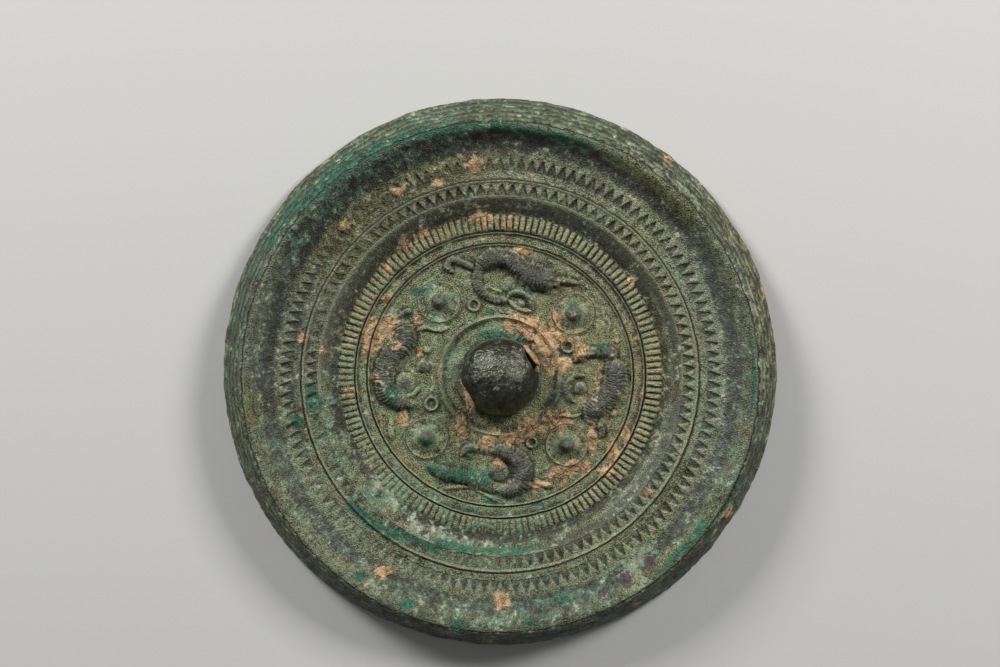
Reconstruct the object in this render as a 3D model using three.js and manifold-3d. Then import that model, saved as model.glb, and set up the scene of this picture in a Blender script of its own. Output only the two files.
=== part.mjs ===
// An ancient bronze mirror, cast in one piece, lying on its gently convex polished face.
// The decorated back faces up: a pierced knob, a field of four nipples and four curled
// beasts in relief, a comb band, two saw-tooth bands and a raised rim.
// Millimetres, +Z up out of the back, +X along the cord hole through the knob.
// The origin is the middle of the flat spot that the disc rests on.

import * as THREE from 'three';
import { mergeVertices } from 'three/addons/utils/BufferGeometryUtils.js';
import Module from 'manifold-3d';

const wasm = await Module();
wasm.setup();

// Widths across the back, from the knob outwards
const KNOB_RADIUS = 8.55;
const SEAT_WIDTH = 3.75;
const SEAT_RING_WIDTH = 1.4;
const FIELD_WIDTH = 14.8;
const LINE_WIDTH = 0.8;
const LINE_BAND_WIDTH = 1.8;
const TOOTH_GAP = 0.3;
const COMB_WIDTH = 3.0;
const STEP_WIDTH = 4.0;
const INNER_SAW_WIDTH = 2.4;
const SAW_MARGIN = 0.5;
const PLAIN_BAND_WIDTH = 1.6;
const OUTER_SAW_WIDTH = 2.7;
const RIM_SLOPE_WIDTH = 7.2;
const RIM_CREST_WIDTH = 0.7;
const RIM_BEVEL_WIDTH = 4.3;

// Levels and relief
const PLATE_THICKNESS = 3.1;
const SEAT_DEPTH = 0.2;
const SEAT_RING_HEIGHT = 0.5;
const LINE_HEIGHT = 0.35;
const COMB_HEIGHT = 0.4;
const SAW_HEIGHT = 0.4;
const STEP_HEIGHT = 2.4;
const RIM_RISE = 3.1;
const EDGE_LIP_HEIGHT = 0.7;
const FACE_CURVE_RADIUS = 1650;
const FACE_FLAT_RADIUS = 25;

// The knob and the cord hole through it
const KNOB_HEIGHT = 8.9;
const KNOB_WAIST_HEIGHT = 1.3;
const KNOB_FOOT_INSET = 0.4;
const HOLE_HALF_WIDTH = 3.3;
const HOLE_WALL_HEIGHT = 1.6;
const HOLE_SILL = 0.2;

// Teeth of the three bands
const COMB_TEETH = 153;
const INNER_SAW_TEETH = 112;
const OUTER_SAW_TEETH = 129;

// Nipples and figures. Turns are degrees anticlockwise from +X.
const NIPPLE_TURNS = [11, 99, 190.5, 283.5];
const NIPPLE_HEIGHT = 2.6;
const NIPPLE_BASE_RADIUS = 2.7;
const NIPPLE_TIP_RADIUS = 1.3;
const NIPPLE_RING_RADIUS = 4.35;
const NIPPLE_RING_HEIGHT = 0.45;
const BEAST_HEIGHT = 1.5;
const LIMB_HEIGHT = 0.9;
const FINE_HEIGHT = 0.5;

// Facets
const PLAIN_SIDES = 64;
const KNOB_SIDES = 32;
const NIPPLE_SIDES = 16;
const SMALL_SIDES = 8;
const HOLE_ARCH_SIDES = 10;
const SINK = 0.6;

// Radii and levels that follow from the sizes above
const seatOuter = KNOB_RADIUS + SEAT_WIDTH;
const fieldInner = seatOuter + SEAT_RING_WIDTH;
const fieldOuter = fieldInner + FIELD_WIDTH;
const bandInner = fieldOuter + LINE_WIDTH;
const bandOuter = bandInner + LINE_BAND_WIDTH;
const combInner = bandOuter + LINE_WIDTH + TOOTH_GAP;
const combOuter = combInner + COMB_WIDTH;
const stepFoot = combOuter + TOOTH_GAP;
const stepTop = stepFoot + STEP_WIDTH;
const innerSawTips = stepTop + TOOTH_GAP;
const innerSawBase = innerSawTips + INNER_SAW_WIDTH;
const middleLineInner = innerSawBase + SAW_MARGIN;
const middleLineOuter = middleLineInner + LINE_WIDTH;
const outerSawTips = middleLineOuter + PLAIN_BAND_WIDTH;
const outerSawBase = outerSawTips + OUTER_SAW_WIDTH;
const crestInner = outerSawBase + RIM_SLOPE_WIDTH;
const crestOuter = crestInner + RIM_CREST_WIDTH;
const edgeRadius = crestOuter + RIM_BEVEL_WIDTH;
const seatLevel = PLATE_THICKNESS - SEAT_DEPTH;
const stepLevel = PLATE_THICKNESS + STEP_HEIGHT;
const middleLevel = stepLevel + SAW_HEIGHT;
const rimLevel = middleLevel + SAW_HEIGHT;
const crestLevel = rimLevel + RIM_RISE;

// Height of the convex polished face above the surface that the disc rests on
function faceLevel(radius) {
  return Math.max(0, radius ** 2 - FACE_FLAT_RADIUS ** 2) / (2 * FACE_CURVE_RADIUS);
}

// One closed ring of points; every second point stands higher where the ring is toothed
function ring(radius, level, sides = PLAIN_SIDES, toothHeight = 0) {
  return Array.from({ length: sides }, (_, i) => {
    const turn = (2 * Math.PI * i) / sides;
    const z = level + (i % 2 === 0 ? toothHeight : 0);
    return new THREE.Vector3(radius * Math.cos(turn), radius * Math.sin(turn), z);
  });
}

// A closed surface through rings that follow each other, from the top point outwards over
// the edge and back to the bottom point; neighbouring rings may have different counts
function skinOfRings(rings) {
  const positions = [];
  for (let k = 0; k + 1 < rings.length; k += 1) {
    const [from, to] = [rings[k], rings[k + 1]];
    let [i, j] = [0, 0];
    while (i < from.length || j < to.length) {
      const nextFrom = from.length === 1 || i === from.length ? Infinity : (i + 1) / from.length;
      const nextTo = to.length === 1 || j === to.length ? Infinity : (j + 1) / to.length;
      if (nextFrom === Infinity && nextTo === Infinity) break;
      const [a, b] = [from[i % from.length], to[j % to.length]];
      if (nextTo <= nextFrom) {
        positions.push(a, b, to[(j + 1) % to.length]);
        j += 1;
      } else {
        positions.push(a, b, from[(i + 1) % from.length]);
        i += 1;
      }
    }
  }
  return new THREE.BufferGeometry().setFromPoints(positions);
}

// The knob's outline from its foot up to its top, wider above the foot than at it
function knobRings() {
  const domeHeight = KNOB_HEIGHT - KNOB_WAIST_HEIGHT;
  const waistLevel = seatLevel + KNOB_WAIST_HEIGHT;
  const domeSteps = [[0.13, 12], [0.27, 24], [0.44, KNOB_SIDES], [0.62, KNOB_SIDES], [0.81, KNOB_SIDES]];
  const rings = [ring(0, seatLevel + KNOB_HEIGHT, 1)];
  for (const [share, sides] of domeSteps) {
    const angle = (share * Math.PI) / 2;
    rings.push(ring(KNOB_RADIUS * Math.sin(angle), waistLevel + domeHeight * Math.cos(angle), sides));
  }
  rings.push(ring(KNOB_RADIUS, waistLevel, KNOB_SIDES));
  rings.push(ring(KNOB_RADIUS - KNOB_FOOT_INSET, seatLevel, KNOB_SIDES));
  return rings;
}

// A raised line: its inner foot, its crest and its outer foot
function lineRings(innerRadius, level) {
  return [
    ring(innerRadius, level),
    ring(innerRadius + LINE_WIDTH / 2, level + LINE_HEIGHT),
    ring(innerRadius + LINE_WIDTH, level),
  ];
}

// Teeth that point inwards: valleys between the tips, closing at the base
function sawRings(tipRadius, baseRadius, level, teeth) {
  return [
    ring(tipRadius, level, 2 * teeth, SAW_HEIGHT),
    ring(baseRadius, level + SAW_HEIGHT, 2 * teeth),
  ];
}

// The hollow slope that rises to the rim's crest, steeper towards the top
function rimSlopeRings() {
  const startShare = 0.3;
  const steepness = 1.5;
  const start = outerSawBase + startShare * RIM_SLOPE_WIDTH;
  const rings = [];
  for (const share of [0, 0.45, 0.8, 1]) {
    rings.push(ring(start + share * (crestInner - start), rimLevel + RIM_RISE * share ** steepness));
  }
  return rings;
}

// The plain disc with its bands, rim, edge and convex face
function makeDisc() {
  const seatRingCrest = seatOuter + SEAT_RING_WIDTH / 2;
  const edgeLevel = faceLevel(edgeRadius);
  const bevelMiddle = (crestOuter + edgeRadius) / 2;
  const bevelMiddleLevel = (crestLevel + edgeLevel + EDGE_LIP_HEIGHT) / 2;
  const bevelSwell = 0.3;
  const faceMiddle = (edgeRadius + FACE_FLAT_RADIUS) / 2;
  return skinOfRings([
    ...knobRings(),
    ring(seatOuter, seatLevel),
    ring(seatRingCrest, PLATE_THICKNESS + SEAT_RING_HEIGHT),
    ring(fieldInner, PLATE_THICKNESS),
    ...lineRings(fieldOuter, PLATE_THICKNESS),
    ...lineRings(bandOuter, PLATE_THICKNESS),
    ring(combInner, PLATE_THICKNESS, 2 * COMB_TEETH, COMB_HEIGHT),
    ring(combOuter, PLATE_THICKNESS, 2 * COMB_TEETH, COMB_HEIGHT),
    ring(stepFoot, PLATE_THICKNESS),
    ring(stepTop, stepLevel),
    ...sawRings(innerSawTips, innerSawBase, stepLevel, INNER_SAW_TEETH),
    ...lineRings(middleLineInner, middleLevel),
    ...sawRings(outerSawTips, outerSawBase, middleLevel, OUTER_SAW_TEETH),
    ...rimSlopeRings(),
    ring(crestOuter, crestLevel),
    ring(bevelMiddle + bevelSwell, bevelMiddleLevel + bevelSwell),
    ring(edgeRadius, edgeLevel + EDGE_LIP_HEIGHT),
    ring(edgeRadius, edgeLevel),
    ring(faceMiddle, faceLevel(faceMiddle)),
    ring(FACE_FLAT_RADIUS, 0, KNOB_SIDES),
    ring(0, 0, 1),
  ]);
}

// A place in the field: the turn in degrees and the share of the way from its inner edge
function fieldPlace(turnDegrees, share, level = PLATE_THICKNESS) {
  const turn = THREE.MathUtils.degToRad(turnDegrees);
  const radius = fieldInner + share * FIELD_WIDTH;
  return new THREE.Vector3(radius * Math.cos(turn), radius * Math.sin(turn), level);
}

// A round boss or ring turned from a profile of [radius, height] that starts and ends on the
// axis, standing in the field
function turned(profile, sides, place) {
  const points = profile.map(([radius, height]) => new THREE.Vector2(radius, height));
  const geometry = new THREE.LatheGeometry(points, sides);
  geometry.rotateX(Math.PI / 2);
  geometry.translate(place.x, place.y, place.z);
  return geometry;
}

// A nipple: a blunt cone in a shallow dish, inside a raised ring
function makeNipple(turnDegrees) {
  const ringHalfWidth = 0.45;
  const dishLevel = 0.08;
  const coneShare = 0.45;
  const tipShare = 0.8;
  const profile = [
    [0, -SINK],
    [NIPPLE_RING_RADIUS + ringHalfWidth, -SINK / 2],
    [NIPPLE_RING_RADIUS, NIPPLE_RING_HEIGHT],
    [NIPPLE_RING_RADIUS - 2 * ringHalfWidth, dishLevel],
    [NIPPLE_BASE_RADIUS, dishLevel],
    [(NIPPLE_BASE_RADIUS + NIPPLE_TIP_RADIUS) / 2, NIPPLE_HEIGHT * coneShare],
    [NIPPLE_TIP_RADIUS, NIPPLE_HEIGHT * tipShare],
    [0, NIPPLE_HEIGHT],
  ];
  return turned(profile, NIPPLE_SIDES, fieldPlace(turnDegrees, 0.5));
}

// A low rounded lump of the field's casting
function makeBump([turn, share, radiusShare, height]) {
  const radius = radiusShare * FIELD_WIDTH;
  const shoulderShare = 0.7;
  const profile = [
    [0, -SINK],
    [radius, -SINK / 3],
    [shoulderShare * radius, shoulderShare * height],
    [0, height],
  ];
  return turned(profile, SMALL_SIDES, fieldPlace(turn, share));
}

// A small raised ring, its middle lying at the field's own level
function makeRinglet([turn, share, radiusShare]) {
  const radius = radiusShare * FIELD_WIDTH;
  const halfWidth = 0.3 * radius;
  const floorLevel = 0.05;
  const profile = [
    [0, -SINK],
    [radius + halfWidth, -SINK / 3],
    [radius, FINE_HEIGHT],
    [radius - halfWidth, floorLevel],
    [0, floorLevel],
  ];
  return turned(profile, SMALL_SIDES, fieldPlace(turn, share));
}

// A rounded bar that follows a smooth curve over the field and thins out at both ends
function makeStroke({ path, half, height, steps }) {
  const places = path.map(([turn, share]) => fieldPlace(turn, share));
  const curve = new THREE.CatmullRomCurve3(places, false, 'centripetal');
  const shoulder = [0.72, 0.66 * height];
  const section = [[-1, -SINK], [-shoulder[0], shoulder[1]], [0, height], shoulder, [1, -SINK]];
  const endShare = 0.2;
  const endScale = 0.4;
  const stations = [];
  for (let i = 0; i <= steps; i += 1) {
    const along = i / steps;
    const swell = Math.sin((Math.PI / 2) * Math.min(1, Math.min(along, 1 - along) / endShare));
    const scale = endScale + (1 - endScale) * swell;
    const middle = curve.getPointAt(along);
    const ahead = curve.getTangentAt(along);
    const side = new THREE.Vector3(ahead.y, -ahead.x, 0).normalize();
    stations.push(section.map(([across, up]) => {
      const point = middle.clone().addScaledVector(side, across * scale * half * FIELD_WIDTH);
      point.z += up > 0 ? up * scale : up;
      return point;
    }));
  }
  const positions = [];
  const count = section.length;
  for (let s = 0; s < steps; s += 1) {
    for (let k = 0; k < count; k += 1) {
      const next = (k + 1) % count;
      const [a, b] = [stations[s][k], stations[s][next]];
      const [c, d] = [stations[s + 1][k], stations[s + 1][next]];
      positions.push(a, b, c, b, d, c);
    }
  }
  const [first, last] = [stations[0], stations[steps]];
  for (let k = 1; k + 1 < count; k += 1) {
    positions.push(first[0], first[k + 1], first[k]);
    positions.push(last[0], last[k], last[k + 1]);
  }
  return new THREE.BufferGeometry().setFromPoints(positions);
}

// Each beast as a carver cuts it: strokes of [turn in degrees, share of the field's width],
// with half widths as shares of that width too
const upperBeast = [
  { path: [[29, 0.7], [36, 0.65], [43, 0.62], [50, 0.72], [57, 0.83], [65, 0.82], [72, 0.7]],
    half: 0.14, height: BEAST_HEIGHT, steps: 10 },
  { path: [[31, 0.73], [25, 0.79], [20.5, 0.87]], half: 0.045, height: LIMB_HEIGHT, steps: 3 },
  { path: [[70, 0.78], [73, 0.58], [72.5, 0.4], [67, 0.25], [60, 0.21], [54, 0.22]],
    half: 0.065, height: LIMB_HEIGHT, steps: 7 },
  { path: [[55, 0.23], [52, 0.32], [46, 0.34], [40, 0.3], [34, 0.18]],
    half: 0.04, height: LIMB_HEIGHT, steps: 6 },
  { path: [[54, 0.22], [48, 0.13], [41, 0.11], [34, 0.15]], half: 0.035, height: FINE_HEIGHT, steps: 4 },
  { path: [[73, 0.7], [78, 0.84], [82.5, 0.94], [85.5, 0.88], [84, 0.75]],
    half: 0.05, height: LIMB_HEIGHT, steps: 6 },
];
const leftBeast = [
  { path: [[113, 0.71], [117, 0.78], [121, 0.8]], half: 0.04, height: LIMB_HEIGHT, steps: 3 },
  { path: [[120.5, 0.78], [125, 0.6], [131, 0.58], [138, 0.71], [147, 0.78], [157, 0.76], [164, 0.6],
    [168, 0.42]], half: 0.12, height: BEAST_HEIGHT, steps: 12 },
  { path: [[157, 0.58], [162, 0.5], [162, 0.4], [157.5, 0.26]],
    half: 0.035, height: FINE_HEIGHT, steps: 5 },
  { path: [[121, 0.46], [117, 0.4], [115, 0.29], [112, 0.18], [106, 0.12]],
    half: 0.035, height: FINE_HEIGHT, steps: 6 },
  { path: [[172, 0.81], [176, 0.87], [180.5, 0.93]], half: 0.05, height: FINE_HEIGHT, steps: 3 },
];
const lowerBeast = [
  { path: [[234, 0.18], [243, 0.2], [251, 0.32], [254, 0.5], [251, 0.68], [245, 0.78], [239, 0.76]],
    half: 0.13, height: BEAST_HEIGHT, steps: 10 },
  { path: [[240, 0.76], [232, 0.72], [224, 0.67], [216, 0.7], [209, 0.75], [202.5, 0.79]],
    half: 0.11, height: LIMB_HEIGHT, steps: 8 },
  { path: [[214, 0.38], [216.5, 0.25], [222.5, 0.2]], half: 0.06, height: LIMB_HEIGHT, steps: 3 },
  { path: [[257, 0.7], [261, 0.8], [265.5, 0.9]], half: 0.045, height: FINE_HEIGHT, steps: 3 },
  { path: [[213, 0.98], [218, 0.87], [225, 0.8], [231, 0.84], [236, 0.91], [240, 0.99]],
    half: 0.03, height: LINE_HEIGHT, steps: 7 },
];
const rightBeast = [
  { path: [[342, 0.22], [345, 0.36], [345, 0.47], [342.5, 0.6]],
    half: 0.05, height: LIMB_HEIGHT, steps: 5 },
  { path: [[342, 0.62], [342, 0.71], [338.5, 0.77]], half: 0.06, height: LIMB_HEIGHT, steps: 3 },
  { path: [[339, 0.72], [332, 0.77], [326, 0.75], [320, 0.68], [314, 0.6], [308, 0.55], [303.5, 0.57]],
    half: 0.165, height: BEAST_HEIGHT, steps: 10 },
  { path: [[304, 0.7], [301.5, 0.79], [298, 0.81]], half: 0.045, height: LIMB_HEIGHT, steps: 3 },
  { path: [[310.5, 0.24], [314, 0.12], [320.5, 0.07], [326, 0.1], [330.5, 0.2], [330, 0.33]],
    half: 0.04, height: LIMB_HEIGHT, steps: 7 },
  { path: [[293, 0.11], [298, 0.16], [299.5, 0.25], [302, 0.34], [305, 0.4]],
    half: 0.03, height: FINE_HEIGHT, steps: 5 },
];

// Lumps as [turn, share, radius share, height], ringlets as [turn, share, radius share]
const bumps = [
  [55, 0.44, 0.12, FINE_HEIGHT], [44, 0.2, 0.06, FINE_HEIGHT], [154, 0.48, 0.16, LIMB_HEIGHT],
  [142, 0.22, 0.105, LIMB_HEIGHT], [130, 0.22, 0.07, FINE_HEIGHT], [239, 0.5, 0.16, LIMB_HEIGHT],
  [228, 0.2, 0.06, LIMB_HEIGHT], [321.5, 0.27, 0.1, LIMB_HEIGHT], [311.5, 0.84, 0.06, FINE_HEIGHT],
];
const ringlets = [[80, 0.2, 0.085], [172, 0.17, 0.095], [265, 0.17, 0.075], [354, 0.16, 0.085]];

// Everything that stands on the field
function makeRelief() {
  const strokes = [...upperBeast, ...leftBeast, ...lowerBeast, ...rightBeast];
  return [
    ...NIPPLE_TURNS.map(makeNipple),
    ...strokes.map(makeStroke),
    ...bumps.map(makeBump),
    ...ringlets.map(makeRinglet),
  ];
}

// The cord hole's round-topped bar, cut through the knob from side to side
function makeHoleBar() {
  const shape = new THREE.Shape();
  shape.moveTo(-HOLE_HALF_WIDTH, 0);
  shape.lineTo(HOLE_HALF_WIDTH, 0);
  shape.lineTo(HOLE_HALF_WIDTH, HOLE_WALL_HEIGHT);
  shape.absarc(0, HOLE_WALL_HEIGHT, HOLE_HALF_WIDTH, 0, Math.PI);
  shape.closePath();
  const length = 2 * KNOB_RADIUS + SEAT_WIDTH;
  const bar = new THREE.ExtrudeGeometry(shape, {
    depth: length,
    bevelEnabled: false,
    curveSegments: HOLE_ARCH_SIDES,
  });
  const across = new THREE.Vector3(0, 1, 0);
  const up = new THREE.Vector3(0, 0, 1);
  const along = new THREE.Vector3(1, 0, 0);
  bar.applyMatrix4(new THREE.Matrix4().makeBasis(across, up, along));
  bar.translate(-length / 2, 0, seatLevel + HOLE_SILL);
  return bar;
}

// A closed geometry as a solid that can be joined and cut
function toSolid(geometry) {
  geometry.deleteAttribute('normal');
  geometry.deleteAttribute('uv');
  const weldDistance = 1e-4;
  const merged = mergeVertices(geometry, weldDistance);
  const mesh = new wasm.Mesh({
    numProp: 3,
    vertProperties: new Float32Array(merged.attributes.position.array),
    triVerts: new Uint32Array(merged.index.array),
  });
  return new wasm.Manifold(mesh);
}

// A solid as a geometry, with points closer than a hair made one and the slivers between
// them left out
function toGeometry(solid) {
  const hair = 2e-3;
  const mesh = solid.getMesh();
  const raw = new THREE.BufferGeometry();
  raw.setAttribute('position', new THREE.BufferAttribute(mesh.vertProperties, 3));
  raw.setIndex(new THREE.BufferAttribute(mesh.triVerts, 1));
  const geometry = mergeVertices(raw, hair);
  const corners = geometry.index.array;
  const kept = [];
  for (let t = 0; t < corners.length; t += 3) {
    const [a, b, c] = [corners[t], corners[t + 1], corners[t + 2]];
    if (a !== b && b !== c && c !== a) kept.push(a, b, c);
  }
  geometry.setIndex(kept);
  geometry.computeVertexNormals();
  return geometry;
}

function makeMirror() {
  let solid = toSolid(makeDisc());
  for (const piece of makeRelief()) {
    solid = solid.add(toSolid(piece));
  }
  solid = solid.subtract(toSolid(makeHoleBar()));
  const patinatedBronze = new THREE.MeshStandardMaterial({
    color: 0x7b7d66,
    roughness: 0.62,
    metalness: 0.45,
  });
  const mirror = new THREE.Mesh(toGeometry(solid), patinatedBronze);
  mirror.name = 'mirror';
  return mirror;
}

const part = new THREE.Group();
part.add(makeMirror());

export default part;
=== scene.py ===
# An ancient bronze mirror, cast in one piece, lying on its polished face with its back up.
# The back has a pierced knob, four nipples and four curled beasts, toothed bands and a rim.
import itertools
import math

import bmesh
import bpy
import numpy as np
from mathutils import Matrix, Vector


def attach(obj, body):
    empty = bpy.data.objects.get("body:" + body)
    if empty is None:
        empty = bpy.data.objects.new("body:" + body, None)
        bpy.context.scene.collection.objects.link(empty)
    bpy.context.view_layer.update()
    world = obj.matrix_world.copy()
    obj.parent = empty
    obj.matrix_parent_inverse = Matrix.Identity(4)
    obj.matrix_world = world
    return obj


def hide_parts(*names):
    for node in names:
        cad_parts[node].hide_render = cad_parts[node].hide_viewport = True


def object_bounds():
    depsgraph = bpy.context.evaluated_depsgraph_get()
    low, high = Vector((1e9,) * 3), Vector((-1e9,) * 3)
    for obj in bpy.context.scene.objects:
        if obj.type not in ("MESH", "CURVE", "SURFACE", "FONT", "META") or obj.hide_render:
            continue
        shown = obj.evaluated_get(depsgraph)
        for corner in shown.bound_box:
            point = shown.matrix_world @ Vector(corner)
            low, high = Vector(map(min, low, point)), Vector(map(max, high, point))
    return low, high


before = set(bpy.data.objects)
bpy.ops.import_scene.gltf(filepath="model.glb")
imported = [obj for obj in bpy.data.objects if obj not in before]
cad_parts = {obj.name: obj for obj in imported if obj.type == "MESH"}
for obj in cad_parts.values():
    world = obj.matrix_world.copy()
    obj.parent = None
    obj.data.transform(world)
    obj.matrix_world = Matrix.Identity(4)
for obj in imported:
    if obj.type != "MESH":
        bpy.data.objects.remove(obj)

cad_low, cad_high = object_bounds()
MM = 0.001


# The view. The camera stands 600 mm over the mirror and leans about 8 degrees towards the
# picture's top, and the picture's level line is turned 30 degrees from the cord hole.
PICTURE_WIDTH_PX = 1000
SENSOR_WIDTH_MM = 36.0
VIEW_DISTANCE_MM = 600.0
PICTURE_PX_PER_MM = 4.5617
VIEW_LEAN = math.radians(8.1)
PICTURE_TURN = math.radians(-30.0)
AIM_RIGHT_MM = -0.04
AIM_UP_MM = 8.83

picture_right = Vector((math.cos(PICTURE_TURN), math.sin(PICTURE_TURN), 0.0))
picture_top = Vector((-math.sin(PICTURE_TURN), math.cos(PICTURE_TURN), 0.0))
straight_up = Vector((0.0, 0.0, 1.0))
to_camera = math.cos(VIEW_LEAN) * straight_up + math.sin(VIEW_LEAN) * picture_top
camera_up = math.cos(VIEW_LEAN) * picture_top - math.sin(VIEW_LEAN) * straight_up


def add_object(name, data):
    """A new object with the given data, linked into the scene."""
    thing = bpy.data.objects.new(name, data)
    bpy.context.scene.collection.objects.link(thing)
    return thing


camera_data = bpy.data.cameras.new("camera")
camera_data.sensor_width = SENSOR_WIDTH_MM
camera_data.lens = VIEW_DISTANCE_MM * PICTURE_PX_PER_MM * SENSOR_WIDTH_MM / PICTURE_WIDTH_PX
camera_data.clip_start = 10 * MM
camera_data.clip_end = 10.0
camera = add_object("camera", camera_data)
aim = (AIM_RIGHT_MM * picture_right + AIM_UP_MM * camera_up) * MM
camera_place = aim + to_camera * VIEW_DISTANCE_MM * MM
camera.matrix_world = Matrix.Translation(camera_place) @ Matrix(
    (picture_right, camera_up, to_camera)
).transposed().to_4x4()
bpy.context.scene.camera = camera


# The studio. Two soft boxes stand low beyond the picture's top corners, so that the relief
# throws short shadows, and the mirror lies on a sheet of pale matt paper.
FLOOR_HALF_MM = 2500.0
BOX_DISTANCE_MM = 900.0
BOX_SIZE_MM = 230.0
LEFT_BOX_TURN = math.radians(-40.0)
LEFT_BOX_RISE = math.radians(25.0)
LEFT_BOX_WATTS = 8.0
RIGHT_BOX_TURN = math.radians(48.0)
RIGHT_BOX_RISE = math.radians(31.0)
RIGHT_BOX_WATTS = 7.0
WORLD_STRENGTH = 0.16


def linear(hex_colour):
    """An sRGB hex colour as linear red, green, blue and alpha."""
    channels = [int(hex_colour[i:i + 2], 16) / 255 for i in (1, 3, 5)]
    return tuple(c / 12.92 if c <= 0.04045 else ((c + 0.055) / 1.055) ** 2.4 for c in channels) + (1.0,)


def soft_box(name, turn_from_top, rise, watts):
    """A square white soft box that points at the mirror's middle."""
    data = bpy.data.lights.new(name, "AREA")
    data.size = BOX_SIZE_MM * MM
    data.energy = watts
    level = math.cos(turn_from_top) * picture_top + math.sin(turn_from_top) * picture_right
    towards = math.cos(rise) * level + math.sin(rise) * straight_up
    box = add_object(name, data)
    box.location = towards * BOX_DISTANCE_MM * MM
    box.rotation_mode = "QUATERNION"
    box.rotation_quaternion = towards.to_track_quat("Z", "Y")


soft_box("left_soft_box", LEFT_BOX_TURN, LEFT_BOX_RISE, LEFT_BOX_WATTS)
soft_box("right_soft_box", RIGHT_BOX_TURN, RIGHT_BOX_RISE, RIGHT_BOX_WATTS)

world = bpy.data.worlds.new("studio")
world.use_nodes = True
world.node_tree.nodes["Background"].inputs["Color"].default_value = linear("#e9ebec")
world.node_tree.nodes["Background"].inputs["Strength"].default_value = WORLD_STRENGTH
bpy.context.scene.world = world
bpy.context.scene.view_settings.view_transform = "Standard"


def add_material(name):
    """A new material and the shader node in it."""
    material = bpy.data.materials.new(name)
    material.use_nodes = True
    return material, material.node_tree.nodes["Principled BSDF"]


# Matt paper: a pale grey fibre sheet with no gloss
paper, paper_shader = add_material("matt_paper")
paper_shader.inputs["Base Color"].default_value = linear("#c9c8c4")
paper_shader.inputs["Roughness"].default_value = 0.9
floor_half = FLOOR_HALF_MM * MM
floor_mesh = bpy.data.meshes.new("floor")
floor_mesh.from_pydata(
    [(-floor_half, -floor_half, 0), (floor_half, -floor_half, 0),
     (floor_half, floor_half, 0), (-floor_half, floor_half, 0)],
    [],
    [(0, 1, 2, 3)],
)
floor_mesh.materials.append(paper)
floor = add_object("floor", floor_mesh)


# The casting's plain form. The real mirror is high-tin bronze, poured in one two-part mould:
# disc, bands, rim and knob together. Its outline is swept round the disc's axis in millimetres.
KNOB_RADIUS = 8.55
SEAT_WIDTH = 3.75
SEAT_RING_WIDTH = 1.4
FIELD_WIDTH = 14.8
LINE_WIDTH = 0.8
LINE_BAND_WIDTH = 1.8
TOOTH_GAP = 0.3
COMB_WIDTH = 3.0
STEP_WIDTH = 4.0
INNER_SAW_WIDTH = 2.4
SAW_MARGIN = 0.5
PLAIN_BAND_WIDTH = 1.6
OUTER_SAW_WIDTH = 2.7
RIM_SLOPE_WIDTH = 7.2
RIM_CREST_WIDTH = 0.7
RIM_BEVEL_WIDTH = 4.3
PLATE_THICKNESS = 3.1
SEAT_DEPTH = 0.2
SEAT_RING_HEIGHT = 0.5
LINE_HEIGHT = 0.35
STEP_HEIGHT = 2.4
COMB_HEIGHT = 0.42
SAW_HEIGHT = 0.4
RIM_RISE = 3.1
EDGE_LIP_HEIGHT = 0.7
FACE_CURVE_RADIUS = 1650.0
FACE_FLAT_RADIUS = 25.0
KNOB_WAIST_HEIGHT = 1.3
KNOB_FOOT_INSET = 0.4
CORNER_ROUNDING = 0.1

seat_outer = KNOB_RADIUS + SEAT_WIDTH
field_inner = seat_outer + SEAT_RING_WIDTH
field_outer = field_inner + FIELD_WIDTH
band_inner = field_outer + LINE_WIDTH
band_outer = band_inner + LINE_BAND_WIDTH
comb_inner = band_outer + LINE_WIDTH + TOOTH_GAP
comb_outer = comb_inner + COMB_WIDTH
step_foot = comb_outer + TOOTH_GAP
step_top = step_foot + STEP_WIDTH
inner_saw_tips = step_top + TOOTH_GAP
inner_saw_base = inner_saw_tips + INNER_SAW_WIDTH
middle_line = inner_saw_base + SAW_MARGIN
outer_saw_tips = middle_line + LINE_WIDTH + PLAIN_BAND_WIDTH
outer_saw_base = outer_saw_tips + OUTER_SAW_WIDTH
crest_inner = outer_saw_base + RIM_SLOPE_WIDTH
crest_outer = crest_inner + RIM_CREST_WIDTH
edge_radius = crest_outer + RIM_BEVEL_WIDTH
seat_level = PLATE_THICKNESS - SEAT_DEPTH
step_level = PLATE_THICKNESS + STEP_HEIGHT
crest_base = step_level + RIM_RISE
knob_top = cad_high.z / MM


def face_level(radius):
    """Height of the convex polished face above the surface that the disc rests on."""
    return max(0.0, radius ** 2 - FACE_FLAT_RADIUS ** 2) / (2 * FACE_CURVE_RADIUS)


def ridge(inner, width, level, height):
    """The outline of a raised line with a groove along its outer side, which the material darkens with
    dirt and painted shadow.
    """
    groove = 0.16
    shape = [(0.0, 0.0), (0.18, 0.55), (0.36, 1.0), (0.5, 0.75), (0.62, -groove / height),
             (0.76, -groove / height), (1.0, 0.0)]
    return [(inner + width * share, level + height * rise) for share, rise in shape]


def knob_outline():
    """The dome from near its top down to its widest place and in to its foot."""
    waist = seat_level + KNOB_WAIST_HEIGHT
    rise = knob_top - waist
    angles = np.radians(np.linspace(3, 90, 24))
    dome = [(KNOB_RADIUS * math.sin(a), waist + rise * math.cos(a)) for a in angles]
    return dome + [(KNOB_RADIUS - KNOB_FOOT_INSET, seat_level)]


def rim_slope_outline():
    """The hollow slope up to the crest, steeper towards its top."""
    start_share = 0.3
    start = outer_saw_base + start_share * RIM_SLOPE_WIDTH
    shares = np.linspace(0, 1, 9)
    return [(start + s * (crest_inner - start), step_level + RIM_RISE * s ** 1.5) for s in shares]


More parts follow.
